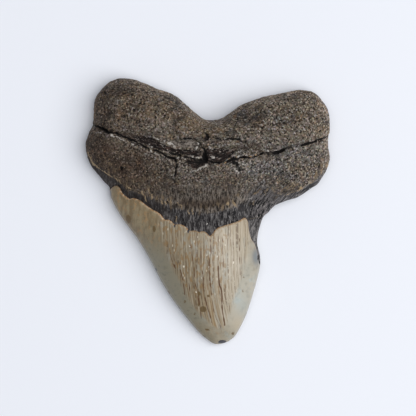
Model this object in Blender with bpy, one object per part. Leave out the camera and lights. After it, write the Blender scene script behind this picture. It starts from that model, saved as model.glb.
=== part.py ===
"""A megalodon tooth: a fossil shark tooth lying on its flatter, outer (labial) face.

The tooth is one piece that grew as one: a rough, two-lobed root with a long crack and a torn hollow,
a neck band, and an enamel crown with a raised edge, a broken shoulder and a worn tip.

Its plan is drawn on squared paper: x runs to the right and y down, towards the crown's tip. The
slant height, from the tip to the far corner of the left lobe, sets the size of a square. The plan
is covered by a lattice of points that follows the tooth's own lines. The upper (lingual) and the
lower (labial) face are each such a lattice, lifted to its height, and they are welded at the rim.
"""

import itertools

import bpy
import numpy as np

# Driving dimensions, in millimetres.
SLANT_HEIGHT = 127.0  # tip to the far corner of the left lobe
BULGE_THICKNESS = 26.0  # through the root's bulge, its thickest place
ENAMEL_STEP = 0.8  # how far the enamel's edge stands above the neck
BREAK_DEPTH = 2.0  # how deep the crown's shoulder is broken away
CRACK_DEPTH = 1.7
HOLLOW_DEPTH = 2.6
LEDGE_DEPTH = 0.9  # of the cracks under the hollow's ledges
FORAMEN_DEPTH = 2.2
FORAMEN_RADIUS = 1.9
NECK_HOLLOW = 0.7  # how far the labial face stands off across the neck
FIBRE_HEIGHT = 0.16  # of the neck band's upright fibres
RIDGE_HEIGHT = 0.1  # of the long ridges down the middle of the enamel
LUMPS = [(0.55, 9), (0.33, 4), (0.25, 2.2)]  # height and size of the root's lumps, coarse to fine
RIM_LUMPS = 0.25  # the share of them at the rim, where the outline has its own

# The plan's squares.
SLANT_SQUARES = 286.0
SQUARE = SLANT_HEIGHT / SLANT_SQUARES
PLAN_CENTRE = (207.9, 211.3)

# The lattice, and the solid that it is thinned to.
COLUMNS = 97
STRIP_ROWS = (20, 18, 14, 22, 26)
COLUMN_CROWDING = 0.16
ROW_CROWDING = 0.3
TRIANGLES = 9400
BREAK_COLUMN = 0.91  # how far across the crown the broken shoulder starts

# The outline, in squares: the root's top margin, the two sides going down, and the worn tip.
TOP = [(93.6, 106), (95.4, 98.4), (101, 90.3), (108, 83), (117, 78.8), (127, 78.2), (137, 80.2),
       (149.5, 84.8), (161, 90), (172, 93.6), (180.6, 99.7), (189.6, 107.5), (197.8, 114.8),
       (204, 118.9), (213, 119.8), (222, 117.8), (230, 112.8), (240, 105.6), (252, 100.8), (262, 97.4),
       (276, 94.4), (290, 91), (303, 90.2), (314, 92.9), (322, 100), (328.1, 110), (330.3, 120)]
LEFT = [(93.6, 106), (93.6, 115), (92.1, 125), (88.3, 134), (85.5, 142), (86, 150), (88, 159),
        (92.8, 168.4), (99.5, 176), (104, 182), (109.4, 187.3), (109.7, 189.9), (110.9, 197.1),
        (112.9, 201.8), (118, 211.3), (126.9, 224.6), (137, 238), (149.3, 258.4), (160.9, 280.5),
        (170.2, 296), (181.3, 311.2), (190.9, 323.2), (200.7, 334.3), (208.2, 340.4)]
TIP = [(208.2, 340.4), (213.2, 343.6), (218, 344.5), (223.4, 343.5), (228.5, 341.8)]
RIGHT = [(330.3, 120), (330.2, 131), (328.8, 137), (328.2, 148), (329.9, 157), (328, 166.5),
         (322.4, 177.4), (311.3, 187.8), (298.4, 196.8), (287.4, 200.6), (278, 203.8), (272, 207.6),
         (263.8, 216), (260.4, 225), (258.1, 234), (257.2, 242.5), (258.6, 250), (260, 256),
         (260.2, 265), (255.8, 284.6), (251.6, 298.9), (246.3, 315), (239.9, 328.2), (234.4, 337.1),
         (228.5, 341.8)]

# The lines across the lingual face: the long crack, the top of the neck band, the enamel's edge
# with the bare shoulder beside it, and the level where the broken shoulder ends.
CRACK = [(92.1, 125), (108, 131.8), (125, 138), (139, 144.5), (153, 150.6), (170, 158.5), (182, 162),
         (196, 164), (210, 164.2), (222, 163), (237, 158), (256, 155.6), (274, 151.6), (294, 146.8),
         (314, 141.6), (328.8, 137)]
NECK = [(104, 182), (109, 181.2), (114, 180.8), (118.6, 182.2), (122.4, 186), (127, 190.4),
        (133, 192.8), (140, 195.6), (148, 199.6), (162, 205.5), (176, 212), (192, 216.4), (208, 218.6),
        (222, 214.6), (236, 210), (249, 206), (261, 205.4), (272, 207.6)]
ENAMEL = [(109.7, 189.9), (111.4, 188.6), (113.2, 186.9), (115.2, 185.8), (117.2, 185.7), (119.6, 187.1),
          (121.2, 190), (123.4, 193.7), (126.8, 196.7), (130.2, 198.8), (133.4, 198), (137.3, 199),
          (141.8, 201.1), (145.2, 203.9), (149.6, 207.2), (154, 210), (158.4, 212.2), (161.8, 215),
          (165.4, 219.4), (168.4, 219.5), (171.8, 221.1), (175.4, 224.4), (178.4, 224), (181.8, 224.4),
          (185.6, 226.3), (187.6, 228.2), (189.6, 230.6), (191.5, 230.4), (194, 230.1), (196.9, 230.6),
          (199.2, 231.7), (201.4, 231), (203.8, 231.1), (206.1, 232.2), (208, 233.9), (209.8, 235.7),
          (211.5, 234.2), (213.3, 232.1), (215.5, 229.9), (218, 228.2), (221.3, 227.1), (224.7, 226.3),
          (230, 224.9), (236, 223.1), (239.6, 221.3), (243.1, 218.9), (244.8, 218.3), (246.2, 218.9)]
SHOULDER = [(246.2, 218.9), (254, 217.6), (263.8, 216)]
BREAK_ROW = [(149.3, 258.4), (170, 261), (200, 263), (232, 261.8), (256.8, 259.6)]
BREAK_FOOT = [(256.8, 259.6), (258, 263.2), (260.2, 265)]
BREAK_EDGE = [(246.2, 218.9), (247.6, 221.7), (248, 227), (249.4, 234.6), (251.4, 239.9),
              (253.8, 243.4), (255.6, 247.6), (256.4, 253), (256.8, 259.6)]

# The matching lines across the labial face, which meet the others at the rim.
BACK_CRACK = [(92.1, 125), (150, 150), (210, 158), (270, 151), (328.8, 137)]
BACK_NECK = [(104, 182), (140, 184), (190, 187), (235, 190), (272, 207.6)]
BACK_ENAMEL = [(109.7, 189.9), (130, 195), (185, 201), (228, 204), (246.2, 210)]
BACK_SHOULDER = [(246.2, 210), (254, 213), (263.8, 216)]
BACK_EDGE = [(246.2, 210), (250, 225), (252.4, 240), (256.8, 259.6)]

# The torn hollow in the middle of the root: its lip, the two ledges' edges and the foramen.
HOLLOW = [(146, 140), (158, 137.6), (176, 137), (196, 136.5), (214, 136.5), (232, 138), (250, 142),
          (258, 148), (250, 156), (238, 159), (226, 162.5), (215, 164.2), (205, 166.4), (195, 168),
          (185, 165), (174, 160.5), (160, 153), (150, 147), (146, 140)]
UPPER_LEDGE = [(136, 133.6), (152, 138.4), (168, 141.4), (188, 138.8), (204, 141), (212, 139.4),
               (234, 141), (256, 146)]
MIDDLE_LEDGE = [(152, 139), (160, 143), (170, 146.4), (190, 149), (205, 152), (212, 155),
                (224, 156.2), (244, 155)]
FORAMEN = (205, 152)

# The root's thickness: (x, y, thickness) posts in millimetres from the plan's centre, y up. They are
# blended, and the whole is then scaled until the bulge has its stated thickness.
BULGE = (2, 19)
POSTS = [(2, 34, 19), (2, 27, 23.5), (2, 19, 26), (0, 10, 24), (-2, 2, 20.5), (-3, -5, 18.5), (-4, -12, 17.5),
         (-20, 42, 19), (-20, 22, 22), (-36, 50, 16), (-38, 34, 18), (-38, 18, 16.5), (-50, 40, 13.5),
         (-50, 24, 12.5), (-42, 10, 10.5), (-28, 5, 15), (-14, 0, 18), (22, 40, 18), (24, 22, 21),
         (38, 46, 16), (40, 30, 17), (38, 14, 15), (51, 34, 13.5), (50, 20, 12), (26, 4, 13), (14, 2, 18)]
POST_REACH = 8.0

# Heights from tip to root by y, in millimetres: of the rim, and of the crown's midline above it.
RIM_LEVELS = [(-60, 2.6), (-45, 3.8), (-25, 4.2), (0, 4.4), (20, 3.6), (60, 3.4)]
CROWN_LEVELS = [(-59.5, 0.3), (-57, 1.8), (-50, 4.9), (-40, 9), (-30, 12), (-20, 13.8), (-11, 14.2), (20, 14)]
UPPER_ROUNDING = 11.5  # how far in from the rim the root's upper edge is rounded
LOWER_ROUNDING = 9.0
FLAT_BELOW = 0.03  # the labial face is truly flat where it would be lower than this
CROWN_FULLNESS = 0.7  # 0.5 is an ellipse across the crown, 1 a parabola


def curve(points, steps=16):
    """A smooth line through the points: a cubic with a tangent at each that its neighbours set."""
    p = np.array(points, float)
    step = np.sqrt(np.linalg.norm(np.diff(p, axis=0), axis=1))[:, None]
    slope = np.diff(p, axis=0) / step
    inner = (slope[:-1] * step[1:] + slope[1:] * step[:-1]) / (step[1:] + step[:-1])
    tangent = np.vstack([slope[:1], inner, slope[-1:]])
    t = np.linspace(0, 1, steps, endpoint=False)[None, :, None]
    a, b, h = p[:-1, None], p[1:, None], step[:, None]
    cubic = ((2 * t**3 - 3 * t**2 + 1) * a + (t**3 - 2 * t**2 + t) * h * tangent[:-1, None]
             + (3 * t**2 - 2 * t**3) * b + (t**3 - t**2) * h * tangent[1:, None])
    return np.vstack([cubic.reshape(-1, 2), p[-1:]])


def along(line, shares):
    """Points at the given shares of a line's length."""
    length = np.r_[0, np.cumsum(np.linalg.norm(np.diff(line, axis=0), axis=1))]
    return np.column_stack([np.interp(shares * length[-1], length, line[:, k]) for k in (0, 1)])


def between(line, start, end, shares):
    """Points at the given shares of the stretch of a line from one place on it to another."""
    first, last = (np.argmin(np.linalg.norm(line - place, axis=1)) for place in (start, end))
    stretch = line[first:last + 1].copy()
    stretch[0], stretch[-1] = start, end
    return along(stretch, shares)


def crowded(count, crowding):
    """Shares from 0 to 1 whose steps shrink to nothing at both ends."""
    t = np.linspace(0, 1, count)
    low, high = t**2 / (2 * crowding), 1 - crowding - (1 - t)**2 / (2 * crowding)
    return np.where(t < crowding, low, np.where(t > 1 - crowding, high, t - crowding / 2)) / (1 - crowding)


def patch(top, bottom, left, right, across, down):
    """A lattice that fills four edges: both blends between opposite edges, less the blend of the corners."""
    s, t = across[None, :, None], down[:, None, None]
    corners = (1 - s) * (1 - t) * top[0] + s * (1 - t) * top[-1] + (1 - s) * t * bottom[0] + s * t * bottom[-1]
    return (1 - t) * top + t * bottom + (1 - s) * left[:, None] + s * right[:, None] - corners


def plan(crack, neck, enamel, shoulder, edge):
    """One face's lattice: places in squares, shares across, and how far down each row is, 0 at the root's
    top margin, 1 at the crack, 2 at the neck, 3 at the enamel's edge, 4 under the break and 5 at the tip."""
    across = crowded(COLUMNS, COLUMN_CROWDING)
    split = np.argmin(abs(across - BREAK_COLUMN))
    across[split] = BREAK_COLUMN
    west = across[:split + 1] / BREAK_COLUMN
    east = (across[split:] - BREAK_COLUMN) / (1 - BREAK_COLUMN)
    left, right, rows = curve(LEFT), curve(RIGHT), [along(curve(line), across) for line in (TOP, crack, neck)]
    for line, end in ((enamel, shoulder), (BREAK_ROW, BREAK_FOOT)):
        rows.append(np.vstack([along(curve(line), west), along(curve(end), east)[1:]]))
    rows.append(along(curve(TIP), across))
    strips, levels = [], []
    for number, count in enumerate(STRIP_ROWS):
        top, bottom, down = rows[number], rows[number + 1], crowded(count + 1, ROW_CROWDING)
        sides = [between(side, top[end], bottom[end], down) for side, end in ((left, 0), (right, -1))]
        if number == 3:
            middle = between(curve(edge), top[split], bottom[split], down)
            strip = np.concatenate([
                patch(top[:split + 1], bottom[:split + 1], sides[0], middle, west, down),
                patch(top[split:], bottom[split:], middle, sides[1], east, down)[:, 1:]], axis=1)
        else:
            strip = patch(top, bottom, *sides, across, down)
        skip = 0 if number == 0 else 1
        strips.append(strip[skip:])
        levels.append(number + down[skip:])
    return np.concatenate(strips), across, np.concatenate(levels)


def millimetres(squares):
    """Plan squares as millimetres from the plan's centre, with y up towards the root."""
    return (np.asarray(squares, float) - PLAN_CENTRE) * (SQUARE, -SQUARE)


def distance(places, line):
    """The distance from each place to a line of points."""
    nearest = np.full(places.shape[:-1], np.inf)
    for a, b in zip(line[:-1], line[1:]):
        run = b - a
        share = np.clip(((places - a) @ run) / max(run @ run, 1e-9), 0, 1)
        nearest = np.minimum(nearest, np.linalg.norm(places - a - share[..., None] * run, axis=-1))
    return nearest


def inside(places, loop):
    """Whether each place lies inside a closed line, by counting the crossings to its right."""
    x, y = places[..., 0], places[..., 1]
    crossings = np.zeros(x.shape, int)
    for (x0, y0), (x1, y1) in zip(loop[:-1], loop[1:]):
        if y0 != y1:
            crossings += ((y0 > y) != (y1 > y)) & (x < x0 + (y - y0) * (x1 - x0) / (y1 - y0))
    return crossings % 2 == 1


def level(y, levels):
    """A height by y, from a list of (y, height)."""
    return np.interp(y, *np.array(levels, float).T)


def smoothstep(t):
    """0 below 0, 1 above 1, and smooth between."""
    t = np.clip(t, 0, 1)
    return t * t * (3 - 2 * t)


def quarter_round(share):
    """A quarter ellipse: 0 at 0, steep at first, and 1 from 1 on."""
    return np.sqrt(1 - (1 - np.clip(share, 0, 1))**2)


def lumps(places, size, seed):
    """Smooth lumps from -1 to 1: random heights at the corners of cubes of this size, blended between."""
    table = np.random.default_rng(seed).uniform(-1, 1, (32, 32, 32))
    cell = np.floor(places / size).astype(int)
    share = smoothstep(places / size - cell)
    total = np.zeros(places.shape[:-1])
    for corner in itertools.product((0, 1), repeat=3):
        weight = np.where(corner, share, 1 - share).prod(axis=-1)
        total += weight * table[tuple(np.moveaxis((cell + corner) % 32, -1, 0))]
    return total


def blended_posts(places):
    """An average of the posts' thicknesses, nearer posts weighing more."""
    posts = np.array(POSTS, float)
    gap = ((places[..., None, :] - posts[:, :2])**2).sum(axis=-1)
    weight = np.exp(-gap / (2 * POST_REACH**2)) + 1e-9
    return (weight * posts[:, 2]).sum(axis=-1) / weight.sum(axis=-1)


def root_thickness(places):
    """The root's thickness at each place."""
    return blended_posts(places) * BULGE_THICKNESS / blended_posts(np.array(BULGE, float))


def meeting(heights, edge):
    """Heights with the lattice's border set to the rim's own level, where the two faces meet."""
    heights[[0, -1]] = edge[[0, -1]]
    heights[:, [0, -1]] = edge[:, [0, -1]]
    return heights


def upper_height(places, down, rim, from_left, from_right):
    """The lingual face: a root with rounded edges that runs into a crown, full in the middle and thin at the
    edges."""
    edge = level(places[..., 1], RIM_LEVELS)
    root = edge + (root_thickness(places) - edge) * quarter_round(rim / UPPER_ROUNDING)
    share = from_left / (from_left + from_right)
    crown = edge + level(places[..., 1], CROWN_LEVELS) * (4 * share * (1 - share))**CROWN_FULLNESS
    return meeting(root + (crown - root) * smoothstep((down[:, None] - 1.9) / 1.2), edge)


def lower_height(places, rim):
    """The labial face: flat, rounded up to the rim, and slightly hollow across the neck."""
    x, y = places[..., 0], places[..., 1]
    edge = level(y, RIM_LEVELS)
    heights = edge * (1 - quarter_round(rim / LOWER_ROUNDING))
    heights += NECK_HOLLOW * np.exp(-((y - 1) / 7)**2 - (x / 30)**2)
    heights[heights < FLAT_BELOW] = 0
    return meeting(heights, edge)


def root_roughness(down, rim):
    """The share of the root's lumps at each point: all on the root, few at the rim, none on the crown."""
    return (1 - smoothstep((down[:, None] - 2.2) / 0.6)) * (RIM_LUMPS + (1 - RIM_LUMPS) * smoothstep(rim / 4))


def upper_relief(places, across, down, rim):
    """How far each lingual point sinks: the crack, the hollow with its ledges and foramen, the fibres of the
    neck, the broken shoulder, and the enamel, which stands up."""
    x, y = places[..., 0], places[..., 1]
    rise = np.minimum(rim / 1.5, 1)
    crack = millimetres(curve(CRACK))
    width = 0.55 + 0.5 * np.exp(-((x + 46) / 6)**2)
    sink = CRACK_DEPTH * np.exp(-(distance(places, crack) / width)**2)
    lip = millimetres(curve(HOLLOW))
    within = distance(places, lip) * inside(places, lip)
    sink += HOLLOW_DEPTH * (0.35 * smoothstep(within / 0.8) + 0.4 * smoothstep((within - 2) / 1.0))
    for ledge in (UPPER_LEDGE, MIDDLE_LEDGE):
        sink += LEDGE_DEPTH * np.exp(-(distance(places, millimetres(curve(ledge))) / 0.6)**2)
    from_foramen = np.linalg.norm(places - millimetres(FORAMEN), axis=-1)
    sink += FORAMEN_DEPTH * np.exp(-(from_foramen / FORAMEN_RADIUS)**4)
    fibres = smoothstep((down[:, None] - 1.6) / 0.4) * (down[:, None] < 3)
    sink += FIBRE_HEIGHT * fibres * np.sin(x * 2.4 + 1.5 * np.sin(0.25 * y)) * rise
    broken = (down[:, None] > 3) & (down[:, None] < 4) & (across > BREAK_COLUMN)
    enamel = (down[:, None] >= 3) & ~broken
    ridges = np.exp(-((x - 2) / 11)**2) * np.sin((x - 4) * 2.9 / (1 + 0.02 * np.minimum(y + 10, 0)))
    return sink + rise * (BREAK_DEPTH * broken - (ENAMEL_STEP + RIDGE_HEIGHT * ridges) * enamel)


def lattice(name, places, heights, sink, rough, upward):
    """One face as a grid mesh, with each point's sink and its share of the root's lumps kept beside it."""
    rows, columns = heights.shape
    bpy.ops.mesh.primitive_grid_add(x_subdivisions=columns - 1, y_subdivisions=rows - 1)
    face = bpy.context.object
    face.name = name
    points = np.dstack([places, heights])[::-1].reshape(-1, 3) / 1000
    face.data.vertices.foreach_set("co", points.ravel())
    for key, values in (("sink", sink), ("rough", rough)):
        face.data.attributes.new(key, "FLOAT", "POINT").data.foreach_set("value", values[::-1].ravel())
    if not upward:
        face.data.flip_normals()
    return face


def faces():
    """The lingual and the labial face."""
    outline = millimetres(np.vstack([curve(line) for line in (TOP, RIGHT, TIP[::-1], LEFT[::-1])]))
    sides = [millimetres(curve(side)) for side in (LEFT, RIGHT)]
    squares, across, down = plan(CRACK, NECK, ENAMEL, SHOULDER, BREAK_EDGE)
    places = millimetres(squares)
    rim = distance(places, outline)
    heights = upper_height(places, down, rim, *(distance(places, side) + 1e-6 for side in sides))
    rough = root_roughness(down, rim)
    upper = lattice("lingual", places, heights, upper_relief(places, across, down, rim), rough, True)
    squares, across, down = plan(BACK_CRACK, BACK_NECK, BACK_ENAMEL, BACK_SHOULDER, BACK_EDGE)
    places = millimetres(squares)
    rim = distance(places, outline)
    heights = lower_height(places, rim)
    rough = root_roughness(down, rim) * smoothstep(heights / 3)
    return upper, lattice("labial", places, heights, np.zeros(heights.shape), rough, False)


def roughened(mesh):
    """Moves every point along its normal: down by its sink, and by its share of the root's lumps."""
    count = len(mesh.vertices)
    points, normals, sink, rough = np.empty(count * 3), np.empty(count * 3), np.empty(count), np.empty(count)
    mesh.vertices.foreach_get("co", points)
    mesh.vertex_normals.foreach_get("vector", normals)
    mesh.attributes["sink"].data.foreach_get("value", sink)
    mesh.attributes["rough"].data.foreach_get("value", rough)
    points, normals = points.reshape(-1, 3) * 1000, normals.reshape(-1, 3)
    raised = sum(height * lumps(points, size, seed) for seed, (height, size) in enumerate(LUMPS))
    points += normals * (rough * raised - sink)[:, None]
    mesh.vertices.foreach_set("co", (points / 1000).ravel())
    mesh.update()


def fossil():
    """The mean look of root and enamel together: a dull brown-grey."""
    material = bpy.data.materials.new("fossil")
    material.use_nodes = True
    shader = material.node_tree.nodes["Principled BSDF"]
    shader.inputs["Base Color"].default_value = (0.13, 0.11, 0.085, 1)
    shader.inputs["Roughness"].default_value = 0.6
    shader.inputs["Metallic"].default_value = 0.0
    return material


def tooth():
    """Both faces welded at the rim, roughened, thinned, and set down on their lowest points."""
    upper, lower = faces()
    bpy.ops.object.select_all(action="DESELECT")
    lower.select_set(True)
    upper.select_set(True)
    bpy.context.view_layer.objects.active = upper
    bpy.ops.object.join()
    weld = upper.modifiers.new("rim", "WELD")
    weld.merge_threshold = 0.00002
    bpy.ops.object.modifier_apply(modifier=weld.name)
    roughened(upper.data)
    thin = upper.modifiers.new("thin", "DECIMATE")
    thin.ratio = TRIANGLES / (2 * len(upper.data.polygons))
    thin.use_collapse_triangulate = True
    bpy.ops.object.modifier_apply(modifier=thin.name)
    for key in ("sink", "rough"):
        upper.data.attributes.remove(upper.data.attributes[key])
    for vertex in upper.data.vertices:
        vertex.co.z = max(vertex.co.z, 0)
    upper.data.shade_smooth()
    upper.name = upper.data.name = "tooth"
    upper.data.materials.append(fossil())
    return upper


def main():
    for leftover in list(bpy.data.objects):
        bpy.data.objects.remove(leftover)
    collection = bpy.data.collections.new("megalodon tooth")
    bpy.context.scene.collection.children.link(collection)
    piece = tooth()
    for home in list(piece.users_collection):
        home.objects.unlink(piece)
    collection.objects.link(piece)


main()
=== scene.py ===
# %% [markdown]
# # A megalodon tooth
# A fossil shark tooth lies on its flatter, outer face. What shows is the inner face: a rough, two-lobed
# root with a long crack and a torn hollow, a charcoal neck band, and a smooth enamel crown with fine long
# lines. The packed model gives the tooth's size and place, and this script dresses it.
# %% Load the frame
import functools
import itertools
import bpy
import numpy as np
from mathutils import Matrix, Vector


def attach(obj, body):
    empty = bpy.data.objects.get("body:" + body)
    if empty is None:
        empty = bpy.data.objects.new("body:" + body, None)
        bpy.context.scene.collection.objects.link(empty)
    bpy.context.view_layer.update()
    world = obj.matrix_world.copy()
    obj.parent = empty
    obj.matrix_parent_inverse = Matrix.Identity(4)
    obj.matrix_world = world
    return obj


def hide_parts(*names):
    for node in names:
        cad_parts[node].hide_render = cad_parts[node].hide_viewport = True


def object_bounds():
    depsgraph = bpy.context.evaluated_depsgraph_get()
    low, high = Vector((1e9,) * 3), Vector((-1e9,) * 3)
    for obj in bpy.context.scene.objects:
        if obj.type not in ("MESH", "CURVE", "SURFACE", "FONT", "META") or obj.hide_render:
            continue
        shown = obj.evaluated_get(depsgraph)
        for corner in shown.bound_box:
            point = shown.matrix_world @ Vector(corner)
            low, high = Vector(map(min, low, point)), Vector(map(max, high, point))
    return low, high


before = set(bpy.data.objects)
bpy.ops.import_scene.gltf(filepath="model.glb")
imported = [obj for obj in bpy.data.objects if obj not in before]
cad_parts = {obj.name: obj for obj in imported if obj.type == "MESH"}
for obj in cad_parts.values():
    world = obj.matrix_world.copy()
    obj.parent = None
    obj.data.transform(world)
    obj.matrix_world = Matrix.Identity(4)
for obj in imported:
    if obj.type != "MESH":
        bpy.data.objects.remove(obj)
cad_low, cad_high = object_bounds()
SIZE = (cad_high - cad_low) * 1000
print("the model's box in millimetres:", [round(side, 2) for side in SIZE])

# %% [markdown]
# ## The plan
# The tooth is drawn on squared paper, seen from above with the crown's tip down: x runs to the right and
# y down. The drawing is 266.4 squares tall, so the model's own height says how large a square is. Only the
# lines that a restorer would pencil in are given as points: the outline, the long crack, the top of the
# neck band, the enamel's edge and the broken shoulder. Everything else is worked out from them.
# %% The outline
PLAN_CENTRE = (207.9, 211.3)
PLAN_HEIGHT = 266.4
SQUARE = SIZE.y / PLAN_HEIGHT
TOP = [(93.6, 106), (95.4, 98.4), (101, 90.3), (108, 83), (117, 78.8), (127, 78.2), (137, 80.2),
       (149.5, 84.8), (161, 90), (172, 93.6), (180.6, 99.7), (189.6, 107.5), (197.8, 114.8),
       (204, 118.9), (213, 119.8), (222, 117.8), (230, 112.8), (240, 105.6), (252, 100.8), (262, 97.4),
       (276, 94.4), (290, 91), (303, 90.2), (314, 92.9), (322, 100), (328.1, 110), (330.3, 120)]
LEFT = [(93.6, 106), (93.6, 115), (92.1, 125), (88.3, 134), (85.5, 142), (86, 150), (88, 159),
        (92.8, 168.4), (99.5, 176), (104, 182), (109.4, 187.3), (109.7, 189.9), (110.9, 197.1),
        (112.9, 201.8), (118, 211.3), (126.9, 224.6), (137, 238), (149.3, 258.4), (160.9, 280.5),
        (170.2, 296), (181.3, 311.2), (190.9, 323.2), (200.7, 334.3), (208.2, 340.4)]
TIP = [(208.2, 340.4), (213.2, 343.6), (218, 344.5), (223.4, 343.5), (228.5, 341.8)]
RIGHT = [(330.3, 120), (330.2, 131), (328.8, 137), (328.2, 148), (329.9, 157), (328, 166.5),
         (322.4, 177.4), (311.3, 187.8), (298.4, 196.8), (287.4, 200.6), (278, 203.8), (272, 207.6),
         (263.8, 216), (260.4, 225), (258.1, 234), (257.2, 242.5), (258.6, 250), (260, 256),
         (260.2, 265), (255.8, 284.6), (251.6, 298.9), (246.3, 315), (239.9, 328.2), (234.4, 337.1),
         (228.5, 341.8)]
print("one square is", round(SQUARE, 4), "mm")

# %% The lines across the upper face
CRACK = [(92.1, 125), (108, 131.8), (125, 138), (139, 144.5), (153, 150.6), (170, 158.5), (182, 162),
         (196, 164), (210, 164.2), (222, 163), (237, 158), (256, 155.6), (274, 151.6), (294, 146.8),
         (314, 141.6), (328.8, 137)]
NECK = [(104, 182), (109, 181.2), (114, 180.8), (118.6, 182.2), (122.4, 186), (127, 190.4),
        (133, 192.8), (140, 195.6), (148, 199.6), (162, 205.5), (176, 212), (192, 216.4), (208, 218.6),
        (222, 214.6), (236, 210), (249, 206), (261, 205.4), (272, 207.6)]
ENAMEL = [(109.7, 189.9), (111.4, 188.6), (113.2, 186.9), (115.2, 185.8), (117.2, 185.7), (119.6, 187.1),
          (121.2, 190), (123.4, 193.7), (126.8, 196.7), (130.2, 198.8), (133.4, 198), (137.3, 199),
          (141.8, 201.1), (145.2, 203.9), (149.6, 207.2), (154, 210), (158.4, 212.2), (161.8, 215),
          (165.4, 219.4), (168.4, 219.5), (171.8, 221.1), (175.4, 224.4), (178.4, 224), (181.8, 224.4),
          (185.6, 226.3), (187.6, 228.2), (189.6, 230.6), (191.5, 230.4), (194, 230.1), (196.9, 230.6),
          (199.2, 231.7), (201.4, 231), (203.8, 231.1), (206.1, 232.2), (208, 233.9), (209.8, 235.7),
          (211.5, 234.2), (213.3, 231.8), (215.5, 229.3), (218, 227.4), (221.3, 226.2), (224.7, 225.2),
          (230, 223.6), (236, 221.8), (239.6, 220.1), (243.1, 218), (244.8, 217.6), (246.2, 218.9)]
SHOULDER = [(246.2, 218.9), (254, 217.6), (263.8, 216)]
BREAK_ROW = [(149.3, 258.4), (170, 261), (200, 263), (232, 261.8), (256.8, 259.6)]
BREAK_FOOT = [(256.8, 259.6), (258, 263.2), (260.2, 265)]
BREAK_EDGE = [(246.2, 218.9), (247.6, 221.7), (248, 227), (249.4, 234.6), (251.4, 239.9),
              (253.8, 243.4), (255.6, 247.6), (256.4, 253), (256.8, 259.6)]
UPPER_LINES = (CRACK, NECK, ENAMEL, SHOULDER, BREAK_EDGE)
print("points in the upper face's lines:", sum(len(line) for line in UPPER_LINES))

# %% The lines across the lower face
# They meet the upper ones at the rim and are gentler, because this face is flat.
BACK_CRACK = [(92.1, 125), (150, 150), (210, 158), (270, 151), (328.8, 137)]
BACK_NECK = [(104, 182), (140, 184), (190, 187), (235, 190), (272, 207.6)]
BACK_ENAMEL = [(109.7, 189.9), (130, 195), (185, 201), (228, 204), (246.2, 210)]
BACK_SHOULDER = [(246.2, 210), (254, 213), (263.8, 216)]
BACK_EDGE = [(246.2, 210), (250, 225), (252.4, 240), (256.8, 259.6)]
LOWER_LINES = (BACK_CRACK, BACK_NECK, BACK_ENAMEL, BACK_SHOULDER, BACK_EDGE)
print("points in the lower face's lines:", sum(len(line) for line in LOWER_LINES))


# %% [markdown]
# ## From points to lines
# A pencil line through a few points is a Catmull-Rom spline: each stretch is a cubic whose tangents follow
# the neighbouring points. Blender's curve objects could hold these too, but here the lines are only guides
# for a mesh, so plain arrays are simpler.
# %% Smooth lines
def curve(points, steps=12):
    """A smooth line: between two points a cubic Hermite blend of both points and both tangents, where a
    tangent is the mean slope on either side of its point."""
    p = np.array(points, float)
    step = np.sqrt(np.linalg.norm(np.diff(p, axis=0), axis=1))[:, None]
    slope = np.diff(p, axis=0) / step
    inner = (slope[:-1] * step[1:] + slope[1:] * step[:-1]) / (step[1:] + step[:-1])
    tangent = np.vstack([slope[:1], inner, slope[-1:]])
    t = np.linspace(0, 1, steps, endpoint=False)[None, :, None]
    a, b, h = p[:-1, None], p[1:, None], step[:, None]
    cubic = ((2 * t**3 - 3 * t**2 + 1) * a + (t**3 - 2 * t**2 + t) * h * tangent[:-1, None]
             + (3 * t**2 - 2 * t**3) * b + (t**3 - t**2) * h * tangent[1:, None])
    return np.vstack([cubic.reshape(-1, 2), p[-1:]])


def along(line, shares):
    """Points at the given shares of a line's length, by linear interpolation of its arc length."""
    length = np.r_[0, np.cumsum(np.linalg.norm(np.diff(line, axis=0), axis=1))]
    return np.column_stack([np.interp(shares * length[-1], length, line[:, k]) for k in (0, 1)])


def between(line, start, end, shares):
    """Points at the given shares of the stretch of a line that runs from start to end."""
    first, last = (np.argmin(np.linalg.norm(line - place, axis=1)) for place in (start, end))
    stretch = line[first:last + 1].copy()
    stretch[0], stretch[-1] = start, end
    return along(stretch, shares)


print("the outline's top margin has", len(curve(TOP)), "points once smoothed")


# %% [markdown]
# ## A lattice that follows the tooth
# A plain square grid would cut across the cracks and the enamel's edge in steps. Instead the plan is
# divided into five strips between the pencil lines, and each strip is filled by a Coons patch, which
# blends its four edges. Rows and columns crowd towards the strips' edges, so that ledges come out crisp.
# %% Shares and patches
def crowded(count, crowding):
    """Shares from 0 to 1: quadratic at both ends, so that steps shrink there, and even in the middle."""
    t = np.linspace(0, 1, count)
    low, high = t**2 / (2 * crowding), 1 - crowding - (1 - t)**2 / (2 * crowding)
    return np.where(t < crowding, low, np.where(t > 1 - crowding, high, t - crowding / 2)) / (1 - crowding)


def patch(top, bottom, left, right, across, down):
    """A Coons patch: the blend of top and bottom, plus the blend of left and right, less the corners'."""
    s, t = across[None, :, None], down[:, None, None]
    corners = ((1 - s) * (1 - t) * top[0] + s * (1 - t) * top[-1]
               + (1 - s) * t * bottom[0] + s * t * bottom[-1])
    return (1 - t) * top + t * bottom + (1 - s) * left[:, None] + s * right[:, None] - corners


print("five crowded shares:", np.round(crowded(5, 0.16), 3))


# %% The lattice of one face
COLUMNS = 321
STRIP_ROWS = (50, 46, 34, 52, 58)
COLUMN_CROWDING, ROW_CROWDING = 0.16, 0.14
# The strip that the broken shoulder and its edge divide, and the share across where the edge starts.
BREAK_STRIP = 3
BREAK_COLUMN = 0.91


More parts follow.
